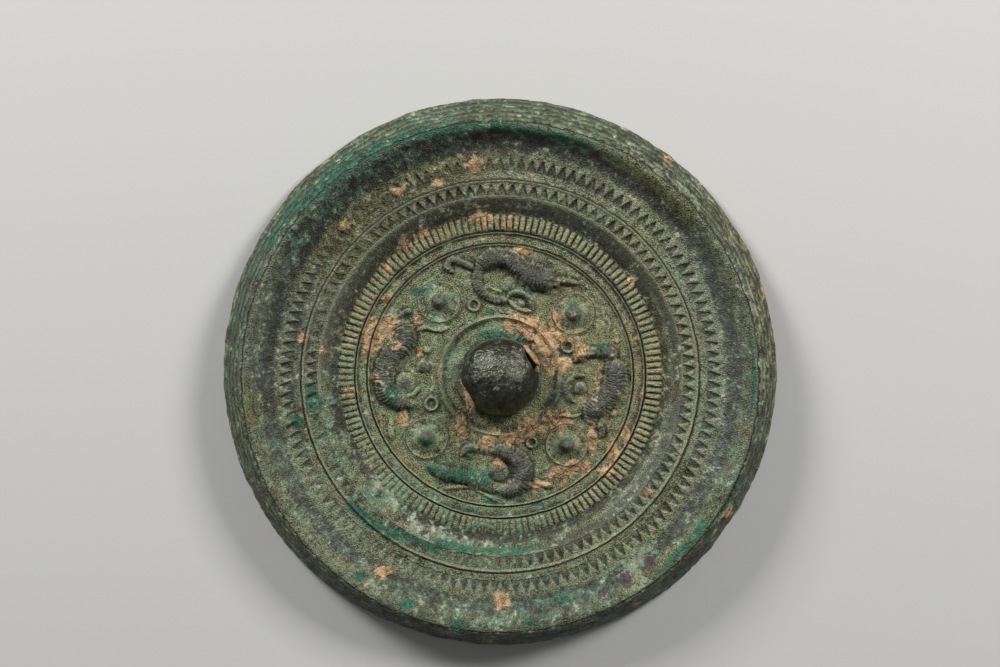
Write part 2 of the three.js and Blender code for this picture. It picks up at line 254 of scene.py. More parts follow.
# Each zone: the outline's next points, the rows of skin in it and the columns round it
saw_rise = 2 * SAW_HEIGHT
bevel_middle = (crest_outer + edge_radius) / 2 + 0.3
bevel_middle_level = (crest_base + saw_rise + face_level(edge_radius) + EDGE_LIP_HEIGHT) / 2 + 0.3
seat_points = [(seat_outer, seat_level),
               (seat_outer + SEAT_RING_WIDTH / 2, PLATE_THICKNESS + SEAT_RING_HEIGHT),
               (field_inner, PLATE_THICKNESS)]
COMB_TEETH = 153
INNER_SAW_TEETH = 112
OUTER_SAW_TEETH = 129
FIELD_COLUMNS = 720
zones = [
    (knob_outline(), 30, 132),
    (seat_points, 14, 216),
    ([(field_outer - 0.1, PLATE_THICKNESS)], 62, FIELD_COLUMNS),
    (ridge(field_outer, LINE_WIDTH, PLATE_THICKNESS, LINE_HEIGHT), 7, 576),
    ([(band_outer - 0.1, PLATE_THICKNESS)], 3, 576),
    (ridge(band_outer, LINE_WIDTH, PLATE_THICKNESS, LINE_HEIGHT), 7, 576),
    ([(step_foot, PLATE_THICKNESS)], 9, 6 * COMB_TEETH),
    ([(step_top, step_level)], 6, 3 * COMB_TEETH),
    ([(inner_saw_base + 0.2, step_level)], 8, 8 * INNER_SAW_TEETH),
    ([(middle_line - 0.1, step_level)], 2, 4 * OUTER_SAW_TEETH),
    (ridge(middle_line, LINE_WIDTH, step_level, LINE_HEIGHT), 7, 4 * OUTER_SAW_TEETH),
    ([(outer_saw_tips - 0.2, step_level)], 3, 4 * OUTER_SAW_TEETH),
    ([(outer_saw_base + 0.2, step_level)], 8, 8 * OUTER_SAW_TEETH),
    (rim_slope_outline(), 10, 4 * OUTER_SAW_TEETH),
    ([(crest_outer, crest_base), (bevel_middle, bevel_middle_level - saw_rise)], 8, 4 * OUTER_SAW_TEETH),
    ([(edge_radius, face_level(edge_radius) + EDGE_LIP_HEIGHT - saw_rise)], 5, 4 * OUTER_SAW_TEETH),
]


def walk(points):
    """How far along a line through the points each of them lies."""
    steps = np.linalg.norm(np.diff(np.asarray(points, float), axis=0), axis=1)
    return np.concatenate([[0.0], np.cumsum(steps)])


outline = []
row_walks = []
row_columns = []
for points, rows, columns in zones:
    start = walk(outline)[-1] if len(outline) > 1 else 0.0
    outline += [(float(r), float(z)) for r, z in points]
    row_walks += list(np.linspace(start, walk(outline)[-1], rows, endpoint=False))
    row_columns += [columns] * rows
outline = np.array(outline)
outline_walk = walk(outline)
row_walks = np.array(row_walks)

# Averaging the outline over a short stretch rounds its corners as wear has done
nudges = CORNER_ROUNDING * np.array([-1.0, -0.5, 0.0, 0.5, 1.0])
row_radius = np.mean([np.interp(row_walks + n, outline_walk, outline[:, 0]) for n in nudges], axis=0)
row_level = np.mean([np.interp(row_walks + n, outline_walk, outline[:, 1]) for n in nudges], axis=0)
POINT_SPACING = 0.24
KNOB_SPACING = 0.4
column_spacings = np.where(row_radius < seat_outer, KNOB_SPACING, POINT_SPACING)
most_columns = [max(12, 12 * round(2 * math.pi * radius / 12 / spacing))
                for radius, spacing in zip(row_radius, column_spacings)]
row_columns = [min(pair) for pair in zip(row_columns, most_columns)]
along_radius = np.gradient(row_radius)
along_level = np.gradient(row_level)
slope_length = np.hypot(along_radius, along_level)
row_out = -along_level / slope_length
row_up = along_radius / slope_length

# Rows of the edge, the convex face and its flat spot, which stay as plain as they are cast
edge_foot = face_level(edge_radius)
under_rows = [(edge_radius, edge_foot + EDGE_LIP_HEIGHT / 2, 1.0, 0.0),
              (edge_radius - 0.15, edge_foot, 0.7, -0.7)]
under_rows += [(r, face_level(r), 0.0, -1.0) for r in np.linspace(edge_radius - 2, FACE_FLAT_RADIUS, 9)]
under_rows += [(r, 0.0, 0.0, -1.0) for r in (16.0, 8.0)]
under_columns = [516, 516] + [258] * 9 + [120, 60]


# The relief. The field's beasts were cut into the mould as curved strokes with fur lines
# across them, and stand 0.4 to 1.5 mm proud; worn nipples, rings and lumps lie between them.
NIPPLE_TURNS = (11.0, 99.0, 190.5, 283.5)
NIPPLE_OUTLINE = np.array([(0.0, 2.75), (0.3, 2.55), (0.6, 2.2), (0.9, 1.8), (1.3, 1.28), (1.8, 0.84),
                           (2.3, 0.5), (2.9, 0.22), (3.4, 0.1), (3.9, 0.12), (4.3, 0.26), (4.55, 0.34),
                           (4.8, 0.22), (5.1, 0.0)])
NIPPLE_RING_RADIUS = 4.7
BEAST_HEIGHT = 1.5
LIMB_HEIGHT = 0.9
FINE_HEIGHT = 0.5
FUR_SPACING = 0.66
FUR_DEPTH = 0.18
FRINGE_HEIGHT = 0.14
FRINGE_REACH = 1.3

# Strokes: turns in degrees and shares of the field's width, half width as such a share, height
strokes = [
    # upper beast: body, tail, neck, upper and lower head, claw
    ([(29, 0.7), (36, 0.65), (43, 0.62), (50, 0.72), (57, 0.83), (65, 0.82), (72, 0.7)],
     0.14, BEAST_HEIGHT),
    ([(31, 0.73), (25, 0.79), (20.5, 0.87)], 0.045, LIMB_HEIGHT),
    ([(70, 0.78), (73, 0.58), (72.5, 0.4), (67, 0.25), (60, 0.21), (54, 0.22)], 0.065, LIMB_HEIGHT),
    ([(55, 0.23), (52, 0.32), (46, 0.34), (40, 0.3), (34, 0.18)], 0.04, LIMB_HEIGHT),
    ([(54, 0.22), (48, 0.13), (41, 0.11), (34, 0.15)], 0.035, FINE_HEIGHT),
    ([(73, 0.7), (78, 0.84), (82.5, 0.94), (85.5, 0.88), (84, 0.75)], 0.05, LIMB_HEIGHT),
    ([(30, 0.67), (36, 0.65), (42, 0.64), (48, 0.67)], 0.19, 1.35),
    # left beast: tail, body, arc, wave, low tongue
    ([(113, 0.71), (117, 0.78), (121, 0.8)], 0.04, LIMB_HEIGHT),
    ([(120.5, 0.78), (125, 0.6), (131, 0.58), (138, 0.71), (147, 0.78), (157, 0.76), (164, 0.6),
      (168, 0.42)], 0.15, BEAST_HEIGHT),
    ([(157, 0.58), (162, 0.5), (162, 0.4), (157.5, 0.26)], 0.035, FINE_HEIGHT),
    ([(121, 0.46), (117, 0.4), (115, 0.29), (112, 0.18), (106, 0.12)], 0.035, FINE_HEIGHT),
    ([(172, 0.81), (176, 0.87), (180.5, 0.93)], 0.05, FINE_HEIGHT),
    # lower beast: curled body, crusted band, shoulder, fringe, casting flaw
    ([(234, 0.18), (243, 0.2), (251, 0.32), (254, 0.5), (251, 0.68), (245, 0.78), (239, 0.76)],
     0.13, BEAST_HEIGHT),
    ([(240, 0.76), (232, 0.72), (224, 0.67), (216, 0.7), (209, 0.75), (202.5, 0.79)], 0.11, LIMB_HEIGHT),
    ([(214, 0.38), (216.5, 0.25), (222.5, 0.2)], 0.06, LIMB_HEIGHT),
    ([(257, 0.7), (261, 0.8), (265.5, 0.9)], 0.045, FINE_HEIGHT),
    ([(213, 0.98), (218, 0.87), (225, 0.8), (231, 0.84), (236, 0.91), (240, 0.99)], 0.03, 0.35),
    # right beast: curls, body, tail, head, wave
    ([(342, 0.22), (345, 0.36), (345, 0.47), (342.5, 0.6)], 0.075, 1.2),
    ([(342, 0.60), (342.5, 0.71), (338.5, 0.79)], 0.085, 1.2),
    ([(339, 0.72), (332, 0.77), (326, 0.75), (320, 0.68), (314, 0.6), (308, 0.55), (303.5, 0.57)],
     0.165, BEAST_HEIGHT),
    ([(304, 0.7), (301.5, 0.79), (298, 0.81)], 0.045, LIMB_HEIGHT),
    ([(310.5, 0.24), (314, 0.12), (320.5, 0.07), (326, 0.1), (330.5, 0.2), (330, 0.33)],
     0.04, LIMB_HEIGHT),
    ([(293, 0.11), (298, 0.16), (299.5, 0.25), (302, 0.34), (305, 0.4)], 0.03, FINE_HEIGHT),
    # finer cuts that only show close up: jaw line, inner neck line, dashes by the rim line
    ([(62.6, 0.12), (58.4, 0.02), (50.9, 0.0), (41.5, 0.0), (32.9, 0.04)], 0.02, 0.3),
    ([(67, 0.42), (63, 0.35), (58, 0.33)], 0.018, 0.25),
    ([(38.0, 0.93), (34.5, 0.925)], 0.02, 0.3),
    ([(25, 0.925), (21.4, 0.925)], 0.02, 0.3),
    ([(17.2, 0.905), (14.5, 0.905)], 0.02, 0.3),
    ([(12, 0.905), (9.8, 0.91)], 0.02, 0.3),
    ([(5, 0.9), (0, 0.84), (-4, 0.86), (-8, 0.78)], 0.03, 0.3),
    ([(2, 0.62), (-3, 0.68), (-7, 0.6)], 0.025, 0.3),
    ([(320.2, 0.08), (314.4, 0.1), (310.5, 0.16), (310.6, 0.26)], 0.02, 0.3),
    ([(226, 0.08), (228, 0.13)], 0.03, 0.35),
    ([(92, 0.14), (95, 0.05), (101, 0.04)], 0.02, 0.25),
    ([(150, 0.08), (158, 0.07), (164, 0.12)], 0.02, 0.25),
    ([(275, 0.3), (279, 0.2), (286, 0.14)], 0.02, 0.25),
]
bumps = [(55, 0.44, 0.12, FINE_HEIGHT), (44, 0.2, 0.06, FINE_HEIGHT), (154, 0.48, 0.16, LIMB_HEIGHT),
         (142, 0.22, 0.105, LIMB_HEIGHT), (130, 0.22, 0.07, FINE_HEIGHT), (239, 0.5, 0.16, LIMB_HEIGHT),
         (228, 0.2, 0.06, LIMB_HEIGHT), (321.5, 0.27, 0.1, LIMB_HEIGHT), (311.5, 0.84, 0.06, FINE_HEIGHT)]
ringlets = [(80, 0.2, 0.085), (172, 0.17, 0.095), (265, 0.17, 0.075), (354, 0.16, 0.085)]


def field_place(turn, share):
    """A place in the field, in millimetres, from its turn and its share of the field's width."""
    radius = field_inner + share * FIELD_WIDTH
    return np.array([radius * math.cos(math.radians(turn)), radius * math.sin(math.radians(turn))])


def smooth_path(places, spacing=0.1):
    """Evenly spaced points on a smooth curve through the places."""
    places = np.asarray(places, float)
    knots = np.vstack([2 * places[0] - places[1], places, 2 * places[-1] - places[-2]])
    share = np.linspace(0, 1, 40, endpoint=False)[:, None]
    pieces = []
    for p0, p1, p2, p3 in zip(knots, knots[1:], knots[2:], knots[3:]):
        d0, d1, d2 = [np.linalg.norm(b - a) ** 0.5 for a, b in ((p0, p1), (p1, p2), (p2, p3))]
        start = ((p1 - p0) / d0 - (p2 - p0) / (d0 + d1) + (p2 - p1) / d1) * d1
        end = ((p2 - p1) / d1 - (p3 - p1) / (d1 + d2) + (p3 - p2) / d2) * d1
        cubic = 2 * p1 - 2 * p2 + start + end
        square = -3 * p1 + 3 * p2 - 2 * start - end
        pieces.append(cubic * share ** 3 + square * share ** 2 + start * share + p1)
    path = np.vstack(pieces + [places[-1:]])
    length = walk(path)
    even = np.arange(0, length[-1], spacing)
    return np.stack([np.interp(even, length, path[:, k]) for k in (0, 1)], axis=1)


def stroke_heights(flat, stroke):
    """Height of one stroke over the places near it, their way along it and how furry they are."""
    path_places, half_share, height = stroke
    path = smooth_path([field_place(*p) for p in path_places])
    half = half_share * FIELD_WIDTH
    margin = FRINGE_REACH * half + 0.5
    near = np.all((flat > path.min(0) - margin) & (flat < path.max(0) + margin), axis=1)
    offsets = flat[near][:, None, :] - path[None, :, :]
    gaps = np.hypot(offsets[..., 0], offsets[..., 1])
    nearest = gaps.argmin(axis=1)
    gap = gaps[np.arange(len(nearest)), nearest]
    along = nearest / (len(path) - 1)
    swell = np.sin(math.pi / 2 * np.minimum(1, np.minimum(along, 1 - along) / 0.2))
    scale = 0.4 + 0.6 * swell
    here = np.column_stack([flat[near], np.zeros(len(nearest))])
    ragged = 1 + 0.14 * lumps(here, 1.5, 41) + 0.10 * lumps(here, 0.7, 42)
    across = gap / (half * scale * ragged)
    dome = np.clip(1 - across ** 2, 0, None) ** 0.5
    result = height * scale * dome
    way = nearest * 0.1 + 0.55 * lumps(here, 1.8, 43)
    furry = np.zeros(len(nearest))
    if height >= LIMB_HEIGHT:
        valley = 0.5 - 0.5 * np.cos(2 * math.pi * way / FUR_SPACING)
        furry = ramp(across, 0.15, 0.6) * ramp(-across, -FRINGE_REACH, -1.1)
        result += FRINGE_HEIGHT * (1 - valley) * furry
        result -= FUR_DEPTH * valley * dome * np.clip(1.6 * across - 0.1, 0.15, 1)
        result += 0.12 * dome * (lumps(here, 1.2, 44) + 0.7 * lumps(here, 0.6, 45))
        furry = np.maximum(furry, 0.35 * (dome > 0))
    return near, np.clip(result, 0, None), way, furry


def field_relief(flat):
    """Height of all that stands on the field, worn into one skin, and the fur's way and strength."""
    heaped = np.zeros(len(flat))
    fur_way = np.zeros(len(flat))
    fur_share = np.zeros(len(flat))
    tallest = np.zeros(len(flat))
    blend = 3.0
    for stroke in strokes:
        near, height, way, furry = stroke_heights(flat, stroke)
        heaped[near] += height ** blend
        wins = height > tallest[near]
        tallest[near] = np.where(wins, height, tallest[near])
        fur_way[near] = np.where(wins, way, fur_way[near])
        fur_share[near] = np.where(wins, furry, fur_share[near])
    for turn, share, size_share, height in bumps:
        gap = np.linalg.norm(flat - field_place(turn, share), axis=1) / (size_share * FIELD_WIDTH)
        heaped += (height * np.clip(1 - gap ** 2, 0, None) ** 0.7) ** blend
    for turn, share, size_share in ringlets:
        radius = size_share * FIELD_WIDTH
        gap = np.abs(np.linalg.norm(flat - field_place(turn, share), axis=1) - radius) / (0.35 * radius)
        heaped += (FINE_HEIGHT * np.clip(1 - gap ** 2, 0, None)) ** blend
    for turn in NIPPLE_TURNS:
        gap = np.linalg.norm(flat - field_place(turn, 0.5), axis=1)
        heaped += np.interp(gap, NIPPLE_OUTLINE[:, 0], NIPPLE_OUTLINE[:, 1]) ** blend
    return heaped ** (1 / blend), fur_way, fur_share


def ring_gap(flat):
    """How far each place lies from the nearest scored ring round a nipple or inside a ringlet."""
    nearest = np.full(len(flat), 1.0)
    rings = [(turn, 0.5, NIPPLE_RING_RADIUS) for turn in NIPPLE_TURNS]
    rings += [(turn, share, 1.2 * size_share * FIELD_WIDTH) for turn, share, size_share in ringlets]
    for turn, share, radius in rings:
        gap = np.abs(np.linalg.norm(flat - field_place(turn, share), axis=1) - radius)
        nearest = np.minimum(nearest, gap)
    return nearest


def ramp(values, low, high):
    """A smooth step from 0 at low to 1 at high."""
    share = np.clip((values - low) / (high - low), 0, 1)
    return share * share * (3 - 2 * share)


def lumps(places, size, seed):
    """Smooth random heights from -1 to 1 with lumps of about the given size in millimetres."""
    grid = places / size + 31.7 * seed
    cell = np.floor(grid).astype(np.int64)
    ease = ramp(grid - cell, 0, 1)
    total = np.zeros(len(places))
    for corner in itertools.product((0, 1), repeat=3):
        x, y, z = (cell + np.array(corner)).T
        mixed = (x * 73856093) ^ (y * 19349663) ^ (z * 83492791)
        mixed = ((mixed ^ (mixed >> 13)) * 1274126177) & 0x7FFFFFFF
        mixed = ((mixed ^ (mixed >> 15)) * 668265263) & 0x7FFFFFFF
        share = np.prod(np.where(corner, ease, 1 - ease), axis=1)
        total += share * (mixed / 0x3FFFFFFF - 1)
    return total


def comb_teeth(radius, turn):
    """Ribs that point at the knob, 0 between them and 1 on top."""
    rib = ramp(np.cos(COMB_TEETH * turn), -0.85, -0.2)
    inside = ramp(radius, comb_inner - 0.25, comb_inner + 0.2)
    return rib * inside * ramp(-radius, -comb_outer - 0.2, -comb_outer + 0.25)


def saw_teeth(radius, turn, tips, base, teeth):
    """Teeth that point inwards from a raised band, 0 in the valleys and 1 on the band."""
    from_middle = np.abs((turn * teeth / (2 * math.pi) + 0.5) % 1 - 0.5) * 2
    width = (radius - tips) / (base - tips)
    return np.where(radius > base + 0.15, 1.0, ramp(width - from_middle, -0.12, 0.3))


# Deposits. Soil, green malachite, blue-green salts and red cuprite lie where the ground
# left them. Spots: right and up of the middle in the picture, half width, half height, in mm.
soil_spots = [
    (3.6, 11.6, 2.6, 1.6), (6.8, 10.4, 3.0, 2.4), (9.8, 8.0, 2.4, 3.2), (12.0, 11.6, 1.8, 2.4),
    (11.0, 3.6, 1.5, 3.4), (13.6, 8.0, 2.4, 1.8), (17.2, 5.4, 1.6, 2.2), (14.2, 2.4, 1.5, 1.8),
    (12.2, -9.8, 3.2, 1.9), (7.4, -11.4, 3.4, 1.9), (2.6, -13.8, 3.2, 1.3), (-8.4, -11.2, 1.2, 2.4),
    (-3.0, -14.6, 1.8, 1.1), (-6.6, -5.2, 0.8, 2.4), (20.2, -14.4, 1.2, 2.8), (17.0, -20.0, 3.0, 1.4),
    (13.4, -21.4, 2.6, 1.7), (8.4, -24.2, 2.2, 0.7), (0.0, -19.4, 1.3, 1.1), (21.3, -0.2, 0.7, 2.3),
    (-27.6, 9.2, 2.4, 3.4), (-24.6, 11.4, 2.0, 2.0), (-24.8, 17.2, 1.6, 0.8), (-29.0, 5.4, 1.2, 1.2),
    (-22.8, 6.8, 1.0, 1.0), (-21.2, -8.8, 0.9, 1.9), (-32.6, -3.4, 1.2, 0.9), (-27.2, -0.4, 0.6, 1.0),
    (5.4, 27.6, 1.5, 0.9), (-4.4, 34.6, 2.8, 1.2), (1.8, 33.0, 0.9, 2.0), (-20.6, 29.0, 1.5, 1.3),
    (-17.0, 31.4, 1.2, 0.9), (-24.0, 24.0, 1.3, 1.0), (28.4, 20.8, 0.8, 0.7), (29.6, 8.0, 0.8, 0.8),
    (25.4, 7.8, 0.6, 0.6), (27.4, -12.6, 0.9, 3.0), (24.6, -17.0, 1.2, 2.2), (31.0, -4.0, 0.5, 1.6),
    (-17.6, 5.4, 0.7, 1.2), (-17.8, 12.4, 0.8, 1.2), (23.2, -21.4, 1.8, 1.0), (-5.2, 46.4, 1.6, 1.6),
    (-13.6, 42.4, 1.2, 0.8), (-25.6, -42.8, 2.0, 1.1), (0.4, -49.2, 1.6, 1.9), (57.4, 20.6, 0.9, 2.8),
    (51.0, 33.6, 1.0, 1.3), (49.4, -29.8, 1.0, 1.2), (36.2, 47.4, 1.0, 0.8), (-42.6, 8.6, 0.9, 1.0),
    (-38.4, 5.6, 0.8, 0.9), (-33.6, 33.2, 1.4, 1.1), (-22.0, 40.6, 1.6, 0.8), (32.4, -25.6, 0.9, 0.9),
]
malachite_spots = [
    (-2.2, 14.0, 1.1, 0.8), (22.0, 6.4, 1.8, 0.8), (-23.6, -4.2, 1.2, 2.4), (-9.0, -21.8, 4.4, 1.5),
    (-14.6, -20.6, 2.0, 1.0), (-3.6, -22.8, 1.8, 1.6), (15.8, 16.0, 1.0, 0.7), (-6.6, -17.2, 1.4, 1.4),
    (-20.6, -7.4, 1.6, 1.0), (4.0, 8.0, 2.2, 1.0), (-1.6, 9.0, 3.6, 1.1), (-2.2, -27.6, 1.6, 0.6),
    (8.2, -28.2, 1.5, 0.5), (-7.2, -29.8, 1.8, 0.6), (-16.4, -14.2, 1.3, 1.0), (-17.6, 18.6, 2.2, 0.8),
    (-41.0, -4.6, 1.3, 3.2), (-44.2, -9.6, 1.6, 1.2), (-30.6, -43.4, 1.6, 1.0), (-20.4, -49.6, 1.8, 1.0),
    (-9.0, -54.0, 2.2, 1.1), (7.0, -53.6, 1.6, 0.9), (13.6, -49.0, 1.8, 0.9), (-12.4, -37.0, 2.6, 1.0),
]
mint_spots = [
    (0.2, 11.0, 4.4, 2.0), (5.0, 19.0, 3.2, 2.0), (-21.2, -2.6, 1.8, 1.6), (-14.4, 12.0, 2.4, 1.6),
    (-13.8, 17.0, 3.2, 3.0), (-10.4, 3.0, 1.8, 4.0), (-16.0, -14.0, 2.8, 2.8), (14.0, -15.6, 3.0, 2.8),
    (-3.0, -21.0, 2.6, 1.4), (16.6, 14.0, 3.0, 3.0), (9.6, 1.0, 1.2, 3.0), (-24.0, 12.6, 1.8, 3.0),
    (-25.0, -26.0, 5.0, 4.0), (0.0, -26.0, 5.0, 1.6),
]
cuprite_spots = [
    (-3.0, 8.6, 1.1, 0.5), (0.6, 8.2, 0.8, 0.4), (27.6, -44.6, 1.3, 1.5), (32.6, -40.6, 1.2, 1.3),
    (22.8, -47.6, 1.4, 0.9), (14.6, -50.8, 1.0, 0.6), (-28.6, -21.6, 1.0, 1.3), (-26.6, -26.0, 1.3, 0.8),
    (-31.8, -17.4, 0.9, 1.1), (-22.4, -31.4, 1.2, 0.7), (-35.4, -9.4, 0.8, 2.4), (-16.4, -34.6, 1.1, 0.6),
    (-2.2, -21.6, 1.0, 0.8), (-11.0, -20.0, 1.0, 0.5), (8.4, 51.6, 2.0, 0.9), (-4.6, 52.6, 2.4, 0.8),
    (-14.8, 50.0, 2.0, 0.8), (20.4, 48.8, 1.4, 0.7),
]
# Arcs: from and to a turn in the picture, anticlockwise from its right, inner and outer radius,
# and how strongly the deposit lies there
malachite_arcs = [
    (134, 152, 56.8, 58.9, 1.0), (119, 137, 54.9, 58.7, 1.0), (103, 122, 55.2, 57.4, 1.0),
    (84, 106, 54.4, 56.3, 0.95), (68, 88, 52.8, 54.8, 0.8), (-50, -36, 53.8, 55.2, 0.9),
    (-38, -20, 55.3, 56.6, 0.9), (-9, 14, 54.1, 55.1, 0.8), (221, 238, 41.2, 43.8, 0.85),
    (233, 251, 39.4, 41.4, 0.8), (245, 284, 37.8, 39.6, 0.72), (182, 192, 39.0, 41.4, 0.8),
    (150, 186, 57.6, 59.6, 0.5), (186, 232, 35.8, 40.8, 0.45), (262, 300, 56.4, 58.2, 0.45),
]
teal_arcs = [
    (92, 150, 50.0, 59.6, 0.5), (98, 142, 38.0, 49.5, 0.2), (180, 285, 35.5, 43.5, 0.36),
    (190, 300, 43.0, 56.0, 0.1), (316, 345, 52.0, 57.0, 0.4), (60, 95, 52.0, 56.0, 0.4),
    (205, 290, 28.5, 35.5, 0.36), (-14, 20, 46.0, 57.0, 0.1), (262, 312, 49.0, 55.0, 0.4),
]
green_arcs = [
    (-180, 180, 56.0, 61.0, 0.5), (-180, 180, 8.0, 28.0, 0.42), (60, 150, 53.0, 61.0, 0.62),
    (150, 300, 28.0, 36.0, 0.5), (190, 320, 40.0, 56.0, 0.42), (-60, 60, 40.0, 54.0, 0.22),
]
blue_arcs = [
    (-25, 40, 42.0, 57.0, 0.62), (318, 352, 47.0, 54.0, 0.6), (148, 182, 50.0, 60.0, 0.5),
    (148, 190, 37.0, 50.0, 0.45), (305, 356, 36.0, 43.0, 0.5), (190, 300, 43.0, 57.0, 0.45),
    (55, 95, 36.0, 54.0, 0.36),
]
pale_arcs = [
    (301, 309, 49.0, 55.0, 1.0), (255, 262, 56.2, 57.6, 0.8), (40, 62, 56.4, 57.6, 0.7),
    (-8, 26, 56.2, 57.6, 0.6), (190, 255, 35.8, 38.4, 0.5),
]
# Painted shade: dark patches on the slopes and ring sides that face away from the soft boxes, and on the
# rim's lower bevel
painted_shade_arcs = [
    (75, 150, 50.0, 55.0, 0.9), (30, 180, 35.8, 39.6, 0.8), (283, 395, 37.6, 39.8, 0.85),
    (28, 100, 50.0, 54.0, 0.45), (112, 168, 12.2, 13.8, 0.7), (-65, -5, 12.2, 14.0, 0.9),
    (150, 185, 48.5, 55.5, 0.55), (215, 335, 57.4, 61.0, 1.0),
]
earth_arcs = [
    (-28, 26, 28.5, 36.0, 0.42), (82, 112, 30.5, 37.0, 0.5), (112, 140, 30.5, 37.0, 0.45),
    (148, 172, 31.0, 38.0, 0.42), (-60, 60, 14.0, 28.0, 0.42), (225, 315, 10.0, 20.0, 0.42),
    (200, 225, 28.0, 36.0, 0.3), (95, 140, 42.0, 50.0, 0.32), (0, 40, 57.0, 61.0, 0.4),
]
fleck_arcs = [(186, 250, 35.5, 40.0, 0.19), (255, 300, 49.0, 57.0, 0.08), (100, 150, 54.0, 58.0, 0.04)]
# Where the skin is browner and duller, and where painted shade darkens the rim's lower bevel
dull_and_shaded_arcs = [(95, 200, 39.4, 50.0, 1.0), (60, 95, 44.8, 49.0, 0.8), (90, 150, 52.5, 57.0, 0.9),
             (150, 240, 52.5, 56.0, 0.5), (240, 300, 35.5, 43.0, 0.65), (200, 240, 39.4, 43.0, 0.65),
             (300, 340, 39.4, 45.0, 0.55), (240, 300, 52.0, 58.0, 0.9), (300, 400, 52.0, 56.0, 0.5),
             (-180, 180, 55.0, 61.0, 0.45), (40, 130, 56.0, 61.0, 0.9), (215, 335, 56.0, 61.0, 1.0),
            (-100, 100, 39.4, 52.0, 0.15)]
# Where the teeth are worn or buried under crust
worn_arcs = [(95, 200, 32.0, 35.8, 0.4), (118, 150, 44.6, 49.0, 1.0), (200, 250, 44.6, 49.0, 0.9),
             (150, 200, 44.6, 49.0, 0.3), (120, 175, 39.5, 43.0, 1.0), (185, 275, 39.5, 43.0, 1.0),
             (200, 290, 32.0, 35.8, 0.8), (84, 112, 44.6, 49.0, 0.8)]
crusted_arcs = [(75, 150, 49.0, 60.0, 1.0), (185, 250, 34.0, 44.0, 1.0), (250, 300, 53.0, 60.0, 1.0),
                (-180, 180, 56.0, 61.0, 0.7)]


def in_picture(places):
    """Places as right and up in the picture, and as turn and radius there."""
    right = places[:, 0] * picture_right.x + places[:, 1] * picture_right.y
    up = places[:, 0] * picture_top.x + places[:, 1] * picture_top.y
    return right, up, np.degrees(np.arctan2(up, right)), np.hypot(right, up)


def spots_share(places, spots):
    """How far places are in any of the spots: 1 in the middle, a half at the border."""
    right, up, _, _ = in_picture(places)
    share = np.zeros(len(places))
    for spot_right, spot_up, half_width, half_height in spots:
        gap = ((right - spot_right) / half_width) ** 2 + ((up - spot_up) / half_height) ** 2
        share = np.maximum(share, np.exp(-0.7 * gap))
    return share


def arcs_share(places, arcs):
    """How far places are in any of the arcs: its strength inside, half of that at the border."""
    _, _, turn, radius = in_picture(places)
    turn = turn + 4 * lumps(places, 5.0, 71)
    radius = radius + 0.5 * lumps(places, 4.0, 72)
    share = np.zeros(len(places))
    for start, end, inner, outer, strength in arcs:
        middle = (start + end) / 2
        off = np.abs((turn - middle + 180) % 360 - 180)
        soft = 0.3 * (outer - inner)
        along = ramp(-off, -(end - start) / 2 - 5, -(end - start) / 2 + 5)
        share = np.maximum(share, strength * along * ramp(radius, inner - soft, inner + soft)
                           * ramp(-radius, -outer - soft, -outer + soft))
    return share


def crust(places):
    """How rough corrosion has left each place, from 0 to 1."""
    rim = 0.15 * ramp(np.hypot(places[:, 0], places[:, 1]), outer_saw_base, crest_inner)
    return np.clip(0.15 + 0.75 * arcs_share(places, crusted_arcs) + rim, 0, 1)


def kept_share(places):
    """How much of the teeth's height is left, from 0.15 where they are worn to 1."""
    return np.clip(1 - 0.65 * arcs_share(places, worn_arcs) + 0.25 * lumps(places, 4.0, 3), 0.15, 1)


# The skin's lumps: size in mm, height on calm skin, what full crust adds, and seed; the knob's
# lumps: size, height and seed; and the soil's banks before the hole's two mouths: from which
# radius, middle and half sizes along and across the hole, height, and its lumps' size and seed
CRUST_LUMPS = ((3.2, 0.03, 0.13, 5), (1.4, 0.01, 0.15, 6), (0.75, 0.01, 0.10, 7))
KNOB_LUMPS = ((3.0, 0.07, 8), (1.5, 0.06, 9), (0.9, 0.05, 10))
SOIL_BANKS = ((9.7, 10.2, 10.6, 1.7, 1.6, 3.6, 1.1, 1.2, 13),
              (9.9, 10.5, -11.0, 1.4, 0.4, 3.0, 0.7, 1.4, 15))
CREASE_DEPTH = 0.16
saw_bands = ((inner_saw_tips, inner_saw_base, INNER_SAW_TEETH),
             (outer_saw_tips, outer_saw_base, OUTER_SAW_TEETH))


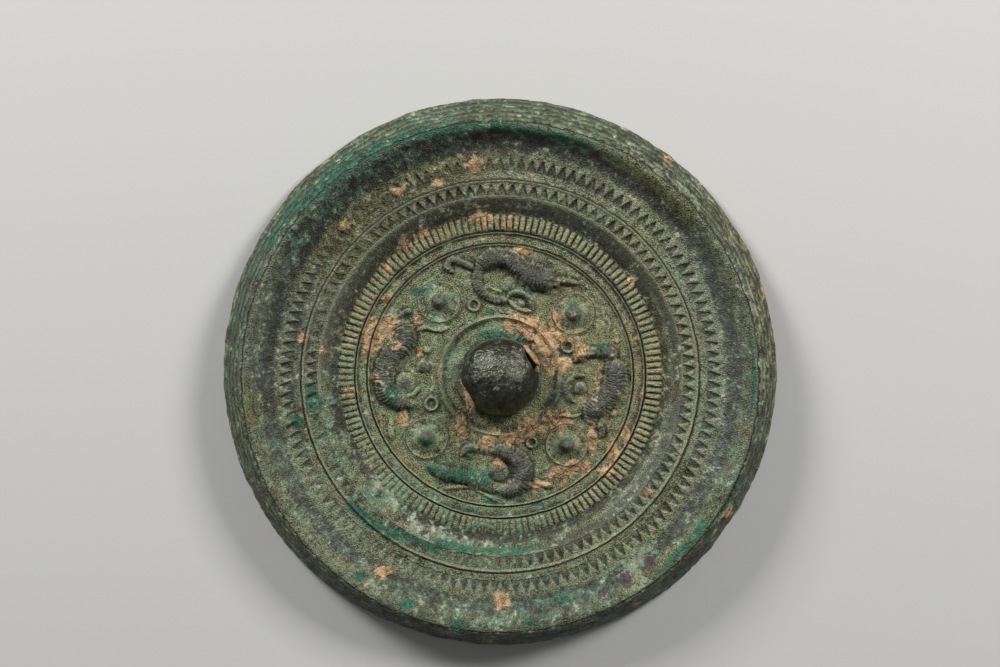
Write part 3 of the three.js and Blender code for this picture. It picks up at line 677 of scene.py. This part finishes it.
def skin_lift(places):
    """How far the skin stands off the plain swept outline at each place, in millimetres."""
    radius = np.hypot(places[:, 0], places[:, 1])
    turn = np.arctan2(places[:, 1], places[:, 0])
    in_field = ramp(radius, field_inner - 0.2, field_inner + 0.4)
    in_field *= ramp(-radius, -field_outer, -field_outer + 0.5)
    lift = in_field * field_relief(places[:, :2])[0]
    kept = kept_share(places)
    lift += COMB_HEIGHT * kept * comb_teeth(radius, turn)
    for tips, base, teeth in saw_bands:
        step = ramp(radius, tips, base)
        lift += SAW_HEIGHT * (step + kept * (saw_teeth(radius, turn, tips, base, teeth) - step))
    off_knob = ramp(radius, KNOB_RADIUS - 1.0, KNOB_RADIUS + 0.5)
    rough = crust(places)
    for size, calm, crusty, seed in CRUST_LUMPS:
        lift += (calm + crusty * rough) * off_knob * lumps(places, size, seed)
    for size, height, seed in KNOB_LUMPS:
        lift += (1 - off_knob) * height * lumps(places, size, seed)
    soil = ramp(spots_share(places, soil_spots) + 0.25 * lumps(places, 1.6, 11), 0.35, 0.7)
    lift += off_knob * soil * (0.16 + 0.10 * lumps(places, 0.9, 12))
    for start, full, along, half_along, side, half_side, height, size, seed in SOIL_BANKS:
        gap = ((places[:, 0] - along) / half_along) ** 2 + ((places[:, 1] - side) / half_side) ** 2
        lift += ramp(radius, start, full) * np.exp(-gap) * (height + 0.3 * lumps(places, size, seed))
    right, up, _, _ = in_picture(places)
    crease = np.exp(-((right - 0.2) / 1.9) ** 4 - ((up - 0.42 * right + 0.6) / 0.3) ** 2)
    lift -= CREASE_DEPTH * (1 - off_knob) * crease
    green = arcs_share(places, malachite_arcs) + spots_share(places, malachite_spots)
    lift += off_knob * np.clip(green, 0, 1) * (0.06 + 0.08 * lumps(places, 1.0, 14))
    return lift


# The skin's points: each row swept round the axis and moved along the outline's normal
def sweep_row(radius, level, out, up, columns):
    """One ring of the plain outline, with the outline's normal at each of its points."""
    turns = 2 * math.pi * np.arange(columns) / columns
    circle = np.stack([np.cos(turns), np.sin(turns)], axis=1)
    ring = np.column_stack([radius * circle, np.full(columns, level)])
    normal = np.column_stack([out * circle, np.full(columns, up)])
    return ring, normal


rings = [sweep_row(*row) for row in zip(row_radius, row_level, row_out, row_up, row_columns)]
back_points = np.vstack([np.array([[0.0, 0.0, knob_top]])] + [ring for ring, _ in rings])
back_normals = np.vstack([np.array([[0.0, 0.0, 1.0]])] + [normal for _, normal in rings])
back_points = back_points + back_normals * skin_lift(back_points)[:, None]
under_rings = [sweep_row(*row, n) for row, n in zip(under_rows, under_columns)]
under_points = np.vstack([ring for ring, _ in under_rings] + [np.zeros((1, 3))])
under_radius = np.hypot(under_points[:, 0], under_points[:, 1])
edge_share = ramp(under_radius, edge_radius - 3, edge_radius - 0.5)
under_points += np.vstack([n for _, n in under_rings] + [np.zeros((1, 3))]) * (
    edge_share * (0.12 * lumps(under_points, 2.4, 5) + 0.06 * lumps(under_points, 1.0, 6)))[:, None]
under_points[:, 2] = np.clip(under_points[:, 2], 0, None)
skin_points = np.vstack([back_points, under_points])

# The edge is not quite round: years of knocks and corrosion moved it by tenths of a millimetre
skin_radius = np.hypot(skin_points[:, 0], skin_points[:, 1])
wobble = ramp(skin_radius, crest_inner - 3, edge_radius)
flat_places = skin_points * np.array([1.0, 1.0, 0.0])
wobble *= 0.15 * lumps(flat_places, 11.0, 21) + 0.05 * lumps(flat_places, 3.0, 22)
skin_points[:, :2] *= (1 + wobble / np.maximum(skin_radius, 1.0))[:, None]

ring_counts = [1] + row_columns + under_columns + [1]
ring_starts = np.concatenate([[0], np.cumsum(ring_counts)])


def zip_rings(start_a, count_a, start_b, count_b):
    """Triangles between two rings of points that may have different counts."""
    triangles = []
    i = j = 0
    while i < count_a or j < count_b:
        next_a = (i + 1) / count_a if i < count_a and count_a > 1 else math.inf
        next_b = (j + 1) / count_b if j < count_b and count_b > 1 else math.inf
        if next_a == next_b == math.inf:
            break
        a = start_a + i % count_a
        b = start_b + j % count_b
        if next_b <= next_a:
            j += 1
            triangles.append((a, b, start_b + j % count_b))
        else:
            i += 1
            triangles.append((a, b, start_a + i % count_a))
    return triangles


skin_triangles = []
for k in range(len(ring_counts) - 1):
    skin_triangles += zip_rings(ring_starts[k], ring_counts[k], ring_starts[k + 1], ring_counts[k + 1])

casting_mesh = bpy.data.meshes.new("mirror_casting")
casting_mesh.from_pydata((skin_points * MM).tolist(), [], [tuple(map(int, t)) for t in skin_triangles])
casting = add_object("mirror_casting", casting_mesh)

# The cord hole: a round-topped bar's shape, cut through the knob from side to side
HOLE_HALF_WIDTH = 3.3
HOLE_WALL_HEIGHT = 1.6
HOLE_SILL = 0.2
HOLE_HALF_LENGTH = 10.4
ARCH_SIDES = 24
STATIONS = 21

arch = [(-HOLE_HALF_WIDTH, 0.0), (HOLE_HALF_WIDTH, 0.0)]
arch += [(HOLE_HALF_WIDTH * math.cos(t), HOLE_WALL_HEIGHT + HOLE_HALF_WIDTH * math.sin(t))
         for t in np.linspace(0, math.pi, ARCH_SIDES)]
bar_points = []
for x in np.linspace(-HOLE_HALF_LENGTH, HOLE_HALF_LENGTH, STATIONS):
    bar_points += [(x, y, seat_level + HOLE_SILL + z) for y, z in arch]
bar_points = np.array(bar_points)
bar_middle = np.array([0.0, 0.0, seat_level + HOLE_SILL + HOLE_WALL_HEIGHT])
outwards = (bar_points - bar_middle) * np.array([0.0, 1.0, 1.0])
above_sill = ramp(bar_points[:, 2], seat_level + HOLE_SILL + 0.2, seat_level + HOLE_SILL + 1.2)
bar_points += outwards * (0.05 * above_sill * lumps(bar_points, 2.2, 31))[:, None]
count = len(arch)
last_station = (STATIONS - 1) * count
bar_faces = []
for start, k in itertools.product(range(0, last_station, count), range(count)):
    after = (k + 1) % count
    bar_faces.append((start + k, start + after, start + count + after, start + count + k))
bar_faces += [tuple(range(count))[::-1], tuple(range(last_station, last_station + count))]
bar_mesh = bpy.data.meshes.new("cord_hole")
bar_mesh.from_pydata((bar_points * MM).tolist(), [], bar_faces)
bar = add_object("cord_hole", bar_mesh)
hole_cut = casting.modifiers.new("cord_hole", "BOOLEAN")
hole_cut.object = bar
hole_cut.operation = "DIFFERENCE"
hole_cut.solver = "MANIFOLD"
bpy.context.view_layer.update()
pierced = casting.evaluated_get(bpy.context.evaluated_depsgraph_get())
pierced_mesh = bpy.data.meshes.new_from_object(pierced)
casting.modifiers.clear()
casting.data = pierced_mesh
bpy.data.objects.remove(bar)
casting.data.shade_smooth()
casting.data.set_sharp_from_angle(angle=math.radians(55))


# The casting's patina. High-tin bronze buried in damp ground: a hard grey-green skin, rubbed
# dark on the knob and beasts, with soil, malachite, blue-green salts and cuprite on it.
# Painted shade darkens the slopes and bevel that face away from the lamps, and the hollows and cuts.
def read_points(mesh):
    """A mesh's points in millimetres, its points' normals, and its edges as pairs."""
    points = np.empty(len(mesh.vertices) * 3, np.float32)
    mesh.vertices.foreach_get("co", points)
    normals = np.empty(len(mesh.vertices) * 3, np.float32)
    mesh.vertices.foreach_get("normal", normals)
    pairs = np.empty(len(mesh.edges) * 2, np.int32)
    mesh.edges.foreach_get("vertices", pairs)
    return points.reshape(-1, 3).astype(float) / MM, normals.reshape(-1, 3), pairs.reshape(-1, 2)


def hollow_depth(points, normals, pairs, rounds):
    """How deep each point lies below its surroundings in millimetres, less than 0 on ridges."""
    ends = np.concatenate([pairs[:, 0], pairs[:, 1]])
    others = np.concatenate([pairs[:, 1], pairs[:, 0]])
    count = np.maximum(np.bincount(ends, minlength=len(points)), 1)
    smoothed = points.copy()
    for _ in range(rounds):
        sums = [np.bincount(ends, weights=smoothed[others, k], minlength=len(points)) for k in range(3)]
        smoothed = np.stack(sums, axis=1) / count[:, None]
    return np.sum((smoothed - points) * normals, axis=1)


HOLLOW_ROUNDS = 7
FULL_HOLLOW_MM = 0.16
NIPPLE_REACH_MM = 3.5
places, place_normals, place_pairs = read_points(casting.data)
place_radius = np.hypot(places[:, 0], places[:, 1])
on_back = ramp(place_normals[:, 2], -0.2, 0.1)
on_field = ramp(place_radius, field_inner - 0.2, field_inner + 0.4)
on_field *= ramp(-place_radius, -field_outer, -field_outer + 0.5)
relief_here, fur_way, fur_share = field_relief(places[:, :2])
proud = ramp(relief_here * on_field, 0.3, 1.0)
hollows = hollow_depth(places, place_normals, place_pairs, HOLLOW_ROUNDS) / FULL_HOLLOW_MM
on_knob = ramp(-place_radius, -KNOB_RADIUS - 0.3, -KNOB_RADIUS + 0.2)
on_knob *= ramp(places[:, 2], seat_level + 0.6, seat_level + 2.6)
waist_level = seat_level + KNOB_WAIST_HEIGHT
dome_share = np.sqrt(np.clip(1 - (place_radius / KNOB_RADIUS) ** 2, 0, 1))
below_dome = waist_level + (knob_top - waist_level) * dome_share - places[:, 2]
in_hole = ramp(-np.abs(places[:, 1]), -HOLE_HALF_WIDTH - 0.1, -HOLE_HALF_WIDTH + 0.3)
in_hole *= ramp(below_dome, 0.5, 1.2) * (place_radius < KNOB_RADIUS + 0.2)
nipple_gaps = [np.linalg.norm(places[:, :2] - field_place(t, 0.5), axis=1) for t in NIPPLE_TURNS]
from_nipple = np.min(nipple_gaps, axis=0)
rubbed = np.where(from_nipple < NIPPLE_REACH_MM, ramp(-from_nipple, -2.6, -1.0), 0.85 * proud)
soil_here = spots_share(places, soil_spots)
dust_here = np.maximum(0.6 * soil_here ** 0.5, arcs_share(places, earth_arcs))
malachite_here = np.maximum(spots_share(places, malachite_spots), arcs_share(places, malachite_arcs))

# What each point of the skin tells the material, by name
stored = {
    "rubbed": np.maximum(rubbed, 1.4 * on_knob) * on_back,
    "fur_way": fur_way,
    "fur_share": fur_share * on_field * np.clip(0.6 + 0.7 * lumps(places, 1.7, 46), 0, 1),
    "ring_gap": ring_gap(places[:, :2]),
    "polished": on_knob,
    "hollow": np.clip(hollows, -1 * (place_radius < outer_saw_base + 1), 1),
    "soil": np.maximum(soil_here * on_back, in_hole),
    "dust": dust_here * on_back * (1 - 0.9 * proud),
    "crust": crust(places),
    "crispness": kept_share(places),
    "malachite": malachite_here * on_back,
    "mint": spots_share(places, mint_spots) * on_back,
    "cuprite": spots_share(places, cuprite_spots) * on_back,
    "layered": ramp(place_radius, crest_inner + 0.3, crest_outer + 1.0) * on_back,
    "face": 1 - on_back,
}
arcs_by_name = {"salts": teal_arcs, "verdigris": green_arcs, "blue": blue_arcs, "pale": pale_arcs,
                # The dark mask is painted shade, laid from the painted shade arcs
                "dark": painted_shade_arcs, "flecks": fleck_arcs, "dull_and_shaded": dull_and_shaded_arcs}
for name, arcs in arcs_by_name.items():
    stored[name] = arcs_share(places, arcs) * on_back
for name, values in stored.items():
    layer = casting.data.attributes.new(name, "FLOAT", "POINT")
    layer.data.foreach_set("value", np.asarray(values, np.float32))


def add_node(tree, kind, links=(), result=0, **settings):
    """Adds a node with its settings and inputs, by name or in order, and gives one output."""
    node = tree.nodes.new("ShaderNode" + kind)
    for name, value in settings.items():
        setattr(node, name, value)
    for name, source in links.items() if isinstance(links, dict) else enumerate(links):
        if isinstance(source, bpy.types.NodeSocket):
            tree.links.new(source, node.inputs[name])
        else:
            node.inputs[name].default_value = source
    return node.outputs[result]


def fill_ramp(ramp_colour, steps):
    """Gives a colour ramp its stops, each a place from 0 to 1 and a colour."""
    stops = ramp_colour.node.color_ramp.elements
    while len(stops) < len(steps):
        stops.new(0.5)
    for stop, (place, colour) in zip(stops, steps):
        stop.position = place
        stop.color = linear(colour)


# Patinated high-tin bronze, cast and then corroded in the ground: matt and gritty to the eye
patina, shader = add_material("patinated_high_tin_bronze")
tree = patina.node_tree
coords = add_node(tree, "TexCoord", (), "Object")
masks = {name: add_node(tree, "Attribute", (), "Fac", attribute_name=name) for name in stored}

# Grains of the corrosion, each by the size of its lumps in millimetres
CLOUD_MM = 13.0
BLOTCH_MM = 3.0
GRAIN_MM = 1.0
GRIT_MM = 0.26
cloud, blotch, grain, grit = [
    add_node(tree, "TexNoise", {
        "Vector": coords, "Scale": 1 / (size * MM), "Detail": detail, "Roughness": 0.65}, "Fac")
    for size, detail in ((CLOUD_MM, 3.0), (BLOTCH_MM, 4.0), (GRAIN_MM, 4.0), (GRIT_MM, 0.6))
]

# Streaks that run round the disc, from the turning of the mould and the layers of the rim
STREAK_MM = 0.5
STREAK_ROUND_MM = 9.0
flat_spot = add_node(tree, "VectorMath", (coords, (1.0, 1.0, 0.0)), operation="MULTIPLY")
around = add_node(tree, "VectorMath", (flat_spot,), operation="NORMALIZE")
around = add_node(tree, "VectorMath", {0: around, "Scale": STREAK_ROUND_MM * MM}, operation="SCALE")
reach = add_node(tree, "VectorMath", (flat_spot,), "Value", operation="LENGTH")
reach_up = add_node(tree, "CombineXYZ", {"Z": reach})
streak_place = add_node(tree, "VectorMath", (around, reach_up), operation="ADD")
streak = add_node(tree, "TexNoise", {
    "Vector": streak_place, "Scale": 1 / (STREAK_MM * MM), "Detail": 3.0, "Roughness": 0.6}, "Fac")

# A colour mix's numbered sockets are its share, first colour, second colour and result. A
# range's sockets in order are its value, the range's two ends, and what they turn into.
MIX_SHARE, MIX_FIRST, MIX_SECOND, MIX_RESULT = 0, 6, 7, 2

# The ground skin: olive to grey-green, speckled dark and pale like fine sandpaper
mottle = 0.0
for source, weight in ((cloud, 0.12), (blotch, 0.20), (grain, 0.23), (grit, 0.45)):
    mottle = add_node(tree, "Math", (source, weight, mottle), operation="MULTIPLY_ADD")
streak_weight = add_node(tree, "MapRange", (masks["layered"], 0.0, 1.0, 0.08, 0.9))
from_middle = add_node(tree, "Math", (streak, 0.5), operation="SUBTRACT")
mottle = add_node(tree, "Math", (from_middle, streak_weight, mottle), operation="MULTIPLY_ADD")
ground = add_node(tree, "ValToRGB", (mottle,))
fill_ramp(ground, [(0.39, "#1d1e14"), (0.45, "#4b4d37"), (0.50, "#787a5d"), (0.55, "#939577"),
                   (0.62, "#b0b293")])

# The skin's hue drifts between green, grey and brown from patch to patch, and in the dull arcs
# it is browner and darker, with painted shade on the rim's lower bevel
TINT_MM = 2.2
TINT_SLICE = 3.0
drift = add_node(tree, "TexNoise", {
    "Vector": coords, "W": TINT_SLICE, "Scale": 1 / (TINT_MM * MM), "Detail": 3.0, "Roughness": 0.7,
}, "Fac", noise_dimensions="4D")
hues = add_node(tree, "ValToRGB", (drift,))
fill_ramp(hues, [(0.36, "#d6f5cb"), (0.46, "#edf4de"), (0.54, "#f5f0da"), (0.64, "#fbe3bc")])
skin = ground
for share, tint in ((1.0, hues), (masks["dull_and_shaded"], linear("#aeab94"))):
    skin = add_node(tree, "Mix", {MIX_SHARE: share, MIX_FIRST: skin, MIX_SECOND: tint}, MIX_RESULT,
                    data_type="RGBA", blend_type="MULTIPLY")

# Hollows hold dark dirt and painted shade, and worn edges are pale
dirt_and_shade = add_node(tree, "MapRange", (masks["hollow"], 0.1, 0.8, 0.0, 0.8))
worn = add_node(tree, "MapRange", (masks["hollow"], -0.15, -1.0, 0.0, grit))
worn = add_node(tree, "Math", (worn, 0.75), operation="MULTIPLY")
for share, colour in ((dirt_and_shade, "#1f1f14"), (worn, "#b4b592")):
    skin = add_node(tree, "Mix", {MIX_SHARE: share, MIX_FIRST: skin, MIX_SECOND: linear(colour)},
                    MIX_RESULT, data_type="RGBA")
skin_roughness = add_node(tree, "MapRange", (grit, 0.35, 0.65, 0.75, 0.42))

# How high the grain and grit stand in millimetres, on calm skin, on crust and on the knob
height = 0.0
for source, calm_mm, crusty_mm, knob_mm in ((grain, 0.18, 0.40, 0.30), (grit, 0.32, 0.42, 0.05)):
    thickness = add_node(tree, "MapRange", (masks["crust"], 0.0, 1.0, calm_mm, crusty_mm))
    thickness = add_node(tree, "MapRange", (masks["polished"], 0.0, 1.0, thickness, knob_mm))
    height = add_node(tree, "Math", (source, thickness, height), operation="MULTIPLY_ADD")
streak_height = add_node(tree, "MapRange", (masks["layered"], 0.0, 1.0, 0.06, 0.6))
height = add_node(tree, "Math", (streak, streak_height, height), operation="MULTIPLY_ADD")
finish = {"colour": skin, "roughness": skin_roughness, "height": height}

coarse = add_node(tree, "Math", (blotch, grain), operation="ADD")
tone = add_node(tree, "Math", (grit, 0.7, coarse), operation="MULTIPLY_ADD")
lightness = add_node(tree, "MapRange", (tone, 1.08, 1.62, 0.0, 1.0))
layers = add_node(tree, "Math", (streak, streak), operation="ADD")


def lay_deposit_and_shade(name, dark, light, roughness, thickness_mm, most, reach_of_grain, soft):
    """Lays a deposit over the finish where its mask says, its border broken up by the grain; the dark
    mask lays painted shade the same way.
    """
    breaker = layers if name == "layered" else coarse
    pushed = add_node(tree, "Math", (breaker, reach_of_grain, masks[name]), operation="MULTIPLY_ADD")
    border = 0.5 + reach_of_grain
    share = add_node(tree, "MapRange", (pushed, border - soft, border + soft, 0.0, most),
                     interpolation_type="SMOOTHSTEP")
    own = add_node(tree, "Mix", {
        MIX_SHARE: lightness, MIX_FIRST: linear(dark), MIX_SECOND: linear(light),
    }, MIX_RESULT, data_type="RGBA")
    finish["colour"] = add_node(tree, "Mix", {
        MIX_SHARE: share, MIX_FIRST: finish["colour"], MIX_SECOND: own}, MIX_RESULT, data_type="RGBA")
    finish["roughness"] = add_node(tree, "MapRange", (share, 0.0, 1.0, finish["roughness"], roughness))
    finish["height"] = add_node(tree, "Math", (share, thickness_mm, finish["height"]),
                                operation="MULTIPLY_ADD")


# Each deposit's mask, darkest and lightest colour, roughness, thickness in millimetres, greatest
# share, how far the grain breaks its border up, and how soft the border is
for deposit_and_shade in (
    ("face", "#34372a", "#6b7059", 0.45, 0.0, 1.0, 1.2, 0.1),
    ("layered", "#12140a", "#5f6440", 0.6, 0.0, 0.75, 0.6, 0.4),
    # The dark row lays painted shade, not a deposit: on slopes facing away from the lamps and on the
    # rim's lower bevel
    ("dark", "#191a12", "#4f5144", 0.55, 0.0, 0.85, 1.4, 0.4),
    ("blue", "#47524d", "#8b958d", 0.5, 0.0, 0.5, 0.9, 0.55),
    ("verdigris", "#2b472f", "#7d987a", 0.6, 0.02, 0.42, 2.4, 0.4),
    ("salts", "#123b2e", "#62917a", 0.55, 0.03, 0.6, 2.6, 0.35),
    ("mint", "#4f6b50", "#9ab391", 0.6, 0.02, 0.55, 1.6, 0.4),
    ("rubbed", "#0d0e09", "#646658", 0.34, 0.0, 0.94, 1.1, 0.3),
    ("pale", "#7d8970", "#b9c2a6", 0.5, 0.02, 0.5, 2.2, 0.3),
    ("cuprite", "#1b1519", "#5e4b4c", 0.4, 0.05, 0.92, 1.0, 0.12),
    ("malachite", "#03190f", "#2c7656", 0.4, 0.06, 0.92, 1.2, 0.16),
    ("flecks", "#7f9384", "#d5ddd0", 0.4, 0.03, 0.5, 2.2, 0.12),
    ("dust", "#655735", "#a69060", 0.9, 0.02, 0.5, 2.4, 0.35),
    ("soil", "#6f5433", "#dab78b", 0.95, 0.12, 0.95, 1.5, 0.25),
    ("polished", "#262720", "#6e6f63", 0.4, 0.0, 0.95, 0.4, 0.2),
):
    lay_deposit_and_shade(*deposit_and_shade)


def cut_in(share, depth_mm, cut_darkening, cut_colour="#12130d", kept=1.0):
    """Sinks a cut into the finish and darkens it, as far as wear has kept it."""
    kept_cut = add_node(tree, "Math", (share, kept), operation="MULTIPLY")
    darkened_cut = add_node(tree, "Math", (kept_cut, cut_darkening), operation="MULTIPLY")
    finish["colour"] = add_node(tree, "Mix", {
        MIX_SHARE: darkened_cut, MIX_FIRST: finish["colour"], MIX_SECOND: linear(cut_colour),
    }, MIX_RESULT, data_type="RGBA")
    finish["height"] = add_node(tree, "Math", (kept_cut, -depth_mm, finish["height"]),
                                operation="MULTIPLY_ADD")


# The dried soil has shrunk into flakes with fine cracks between them
FLAKE_MM = 2.8
FLAKE_BEND_MM = 1.6
FLAKE_CRACK_DEPTH_MM = 0.15
bend = add_node(tree, "TexNoise", {
    "Vector": coords, "Scale": 1 / (BLOTCH_MM * MM), "Detail": 3.0}, "Color")
bent_place = add_node(tree, "VectorMath", (bend, (FLAKE_BEND_MM * MM,) * 3, coords),
                      operation="MULTIPLY_ADD")
flakes = add_node(tree, "TexVoronoi", {"Vector": bent_place, "Scale": 1 / (FLAKE_MM * MM)},
                  "Distance", feature="DISTANCE_TO_EDGE")
soiled = add_node(tree, "MapRange", (masks["soil"], 0.6, 0.9, 0.0, 0.7))
flake_cracks = add_node(tree, "MapRange", (flakes, 0.01, 0.07, soiled, 0.0))
cut_in(flake_cracks, FLAKE_CRACK_DEPTH_MM, 1.0, "#33261a")

# Fur is cut across the beasts in fine strokes, darkened in its valleys with dirt and painted shade
FUR_CUT_DEPTH_MM = 0.1
fur_turn = add_node(tree, "Math", (masks["fur_way"], 2 * math.pi / FUR_SPACING), operation="MULTIPLY")
fur_wave = add_node(tree, "Math", (fur_turn,), operation="COSINE")
fur_valley = add_node(tree, "MapRange", (fur_wave, 0.3, -0.9, 0.0, masks["fur_share"]))
cut_in(fur_valley, FUR_CUT_DEPTH_MM, 0.6, "#0c0d0a")

# Scored rings round the nipples and ringlets, filled with dark dirt and lost in places
SCORE_HALF_WIDTH_MM = 0.22
SCORE_DEPTH_MM = 0.14
score = add_node(tree, "MapRange", (masks["ring_gap"], 0.06, SCORE_HALF_WIDTH_MM, 1.0, 0.0),
                 interpolation_type="SMOOTHSTEP")
unbroken = add_node(tree, "MapRange", (blotch, 0.35, 0.5, 0.25, 0.8))
cut_in(score, SCORE_DEPTH_MM, 1.0, "#141510", unbroken)

# The mould's straight cuts at full sharpness: lines round the disc, ribs and triangular teeth.
# Their radius wavers by up to a quarter of a millimetre, so that they don't look turned.
WAVER_MM = 0.5
across = add_node(tree, "SeparateXYZ", (coords,)).node.outputs
turn = add_node(tree, "Math", (across["Y"], across["X"]), operation="ARCTAN2")
waver = add_node(tree, "Math", (blotch, 0.5), operation="SUBTRACT")
from_axis = add_node(tree, "Math", (reach, 1 / MM), operation="MULTIPLY")
from_axis = add_node(tree, "Math", (waver, WAVER_MM, from_axis), operation="MULTIPLY_ADD")


def between(inner, outer, radius=from_axis, edge_mm=0.12):
    """1 between two radii in millimetres and 0 outside them."""
    inside = add_node(tree, "MapRange", (radius, inner, inner + edge_mm, 0.0, 1.0))
    outside = add_node(tree, "MapRange", (radius, outer, outer - edge_mm, 0.0, 1.0))
    return add_node(tree, "Math", (inside, outside), operation="MULTIPLY")


# The groove at each line's outer foot is filled with dark dirt and painted shadow
GROOVE_PLACE = 0.69
GROOVE_HALF_WIDTH_MM = 0.25
GROOVE_DEPTH_MM = 0.14
GROOVE_DIRT_AND_SHADOW = 0.92
for line in (field_outer, band_outer, middle_line):
    groove = line + GROOVE_PLACE * LINE_WIDTH
    cut_in(between(groove - GROOVE_HALF_WIDTH_MM, groove + GROOVE_HALF_WIDTH_MM),
           GROOVE_DEPTH_MM, GROOVE_DIRT_AND_SHADOW)

# The comb's slits and the saw's pits are darkened with dirt and painted shade
SLIT_DEPTH_MM = 0.12
SAW_PIT_DEPTH_MM = 0.2
CUT_DIRT_AND_SHADE = 0.35
ribs = add_node(tree, "Math", (turn, float(COMB_TEETH)), operation="MULTIPLY")
ribs = add_node(tree, "Math", (ribs,), operation="COSINE")
slits = add_node(tree, "MapRange", (
    ribs, -0.6, -0.9, 0.0, between(comb_inner - 0.1, comb_outer + 0.1)), interpolation_type="SMOOTHSTEP")
cut_in(slits, SLIT_DEPTH_MM, CUT_DIRT_AND_SHADE, kept=masks["crispness"])
for tips, base, teeth in saw_bands:
    cycles = add_node(tree, "Math", (turn, teeth / (2 * math.pi), 0.5), operation="MULTIPLY_ADD")
    cycles = add_node(tree, "Math", (waver, 0.5, cycles), operation="MULTIPLY_ADD")
    phase = add_node(tree, "Math", (cycles,), operation="FRACT")
    off_middle = add_node(tree, "Math", (phase, 0.5), operation="SUBTRACT")
    off_middle = add_node(tree, "Math", (off_middle,), operation="ABSOLUTE")
    tooth_half = add_node(tree, "MapRange", (from_axis, tips, base, 0.0, 0.5), clamp=False)
    spare = add_node(tree, "Math", (off_middle, tooth_half), operation="SUBTRACT")
    pits = add_node(tree, "MapRange", (spare, -0.08, 0.02, 0.0, between(tips - 0.1, base + 0.1)))
    cut_in(pits, SAW_PIT_DEPTH_MM, CUT_DIRT_AND_SHADE, kept=masks["crispness"])

# Cracks between the layers of the rim's crust wander round it: each one's radius and dirt
RIM_CRACKS = ((55.9, 0.9), (56.9, 0.5), (57.8, 0.65), (58.7, 0.6), (59.5, 0.7))
RIM_CRACK_HALF_WIDTH_MM = 0.24
RIM_CRACK_DEPTH_MM = 0.16
wander = add_node(tree, "Math", (coarse, 1.0), operation="SUBTRACT")
wandering = add_node(tree, "Math", (wander, from_axis), operation="ADD")
for crack, crack_dirt in RIM_CRACKS:
    crack_share = between(crack - RIM_CRACK_HALF_WIDTH_MM, crack + RIM_CRACK_HALF_WIDTH_MM,
                          wandering, edge_mm=0.16)
    cut_in(crack_share, RIM_CRACK_DEPTH_MM, crack_dirt, kept=masks["crispness"])

# The knob's rubbed metal: dark brown bronze with a soft shine over fine wrinkles
KNOB_METALLIC = 0.85
KNOB_ROUGHNESS = 0.27
metal = add_node(tree, "MapRange", (masks["polished"], 0.3, 1.0, 0.0, KNOB_METALLIC))
shine = add_node(tree, "MapRange", (masks["polished"], 0.0, 1.0, finish["roughness"], KNOB_ROUGHNESS))
relief_normal = add_node(tree, "Bump", {"Height": finish["height"], "Distance": MM, "Strength": 1.0})
tree.links.new(finish["colour"], shader.inputs["Base Color"])
tree.links.new(shine, shader.inputs["Roughness"])
tree.links.new(metal, shader.inputs["Metallic"])
tree.links.new(relief_normal, shader.inputs["Normal"])

casting.data.materials.clear()
casting.data.materials.append(patina)
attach(casting, "root")
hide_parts("mirror")


# Soil in the cord hole. Dried loess is caked in both mouths: a smooth slab that has shrunk
# away from the crust on the right, and a thin tongue on the left beside an open gap.
# Loess: fine yellow-brown silt dried in the air, quite matt and crumbly to the eye
SOIL_GRAIN_MM = 0.9
SOIL_BUMP_MM = 0.25
soil, soil_shader = add_material("dried_loess")
soil_tree = soil.node_tree
soil_shader.inputs["Roughness"].default_value = 0.95
soil_shader.inputs["Specular IOR Level"].default_value = 0.2
soil_coords = add_node(soil_tree, "TexCoord", (), "Object")
soil_noise = add_node(soil_tree, "TexNoise", {
    "Vector": soil_coords, "Scale": 1 / (SOIL_GRAIN_MM * MM), "Detail": 5.0, "Roughness": 0.7}, "Fac")
soil_colour = add_node(soil_tree, "ValToRGB", (soil_noise,))
fill_ramp(soil_colour, [(0.36, "#6d5138"), (0.6, "#bd9c78")])
soil_normal = add_node(soil_tree, "Bump", {"Height": soil_noise, "Distance": SOIL_BUMP_MM * MM})
soil_tree.links.new(soil_colour, soil_shader.inputs["Base Color"])
soil_tree.links.new(soil_normal, soil_shader.inputs["Normal"])


def cake_soil(name, middle, half_sizes, tilt, seed):
    """A lump of dried soil: a squared-off pebble with a dented, crumbly skin, in millimetres."""
    shape = bmesh.new()
    bmesh.ops.create_icosphere(shape, subdivisions=4, radius=1.0)
    round_points = np.array([v.co for v in shape.verts])
    squared = np.sign(round_points) * np.abs(round_points) ** 0.7
    points = squared * np.array(half_sizes)
    dents = 0.16 * lumps(points, 1.4, seed) + 0.07 * lumps(points, 0.6, seed + 1)
    points += round_points * dents[:, None]
    turned = points @ np.array(Matrix.Rotation(tilt, 3, "Z")).T
    for vertex, point in zip(shape.verts, (turned + np.array(middle)) * MM):
        vertex.co = point
    mesh = bpy.data.meshes.new(name)
    shape.to_mesh(mesh)
    shape.free()
    mesh.shade_smooth()
    mesh.materials.append(soil)
    lump = add_object(name, mesh)
    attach(lump, "root")


cake_soil("soil_in_right_mouth", (8.3, 0.6, 4.4), (0.5, 2.8, 1.8), math.radians(8), 51)
cake_soil("soil_in_left_mouth", (-8.0, -1.5, 3.9), (0.6, 2.1, 1.1), math.radians(-12), 61)
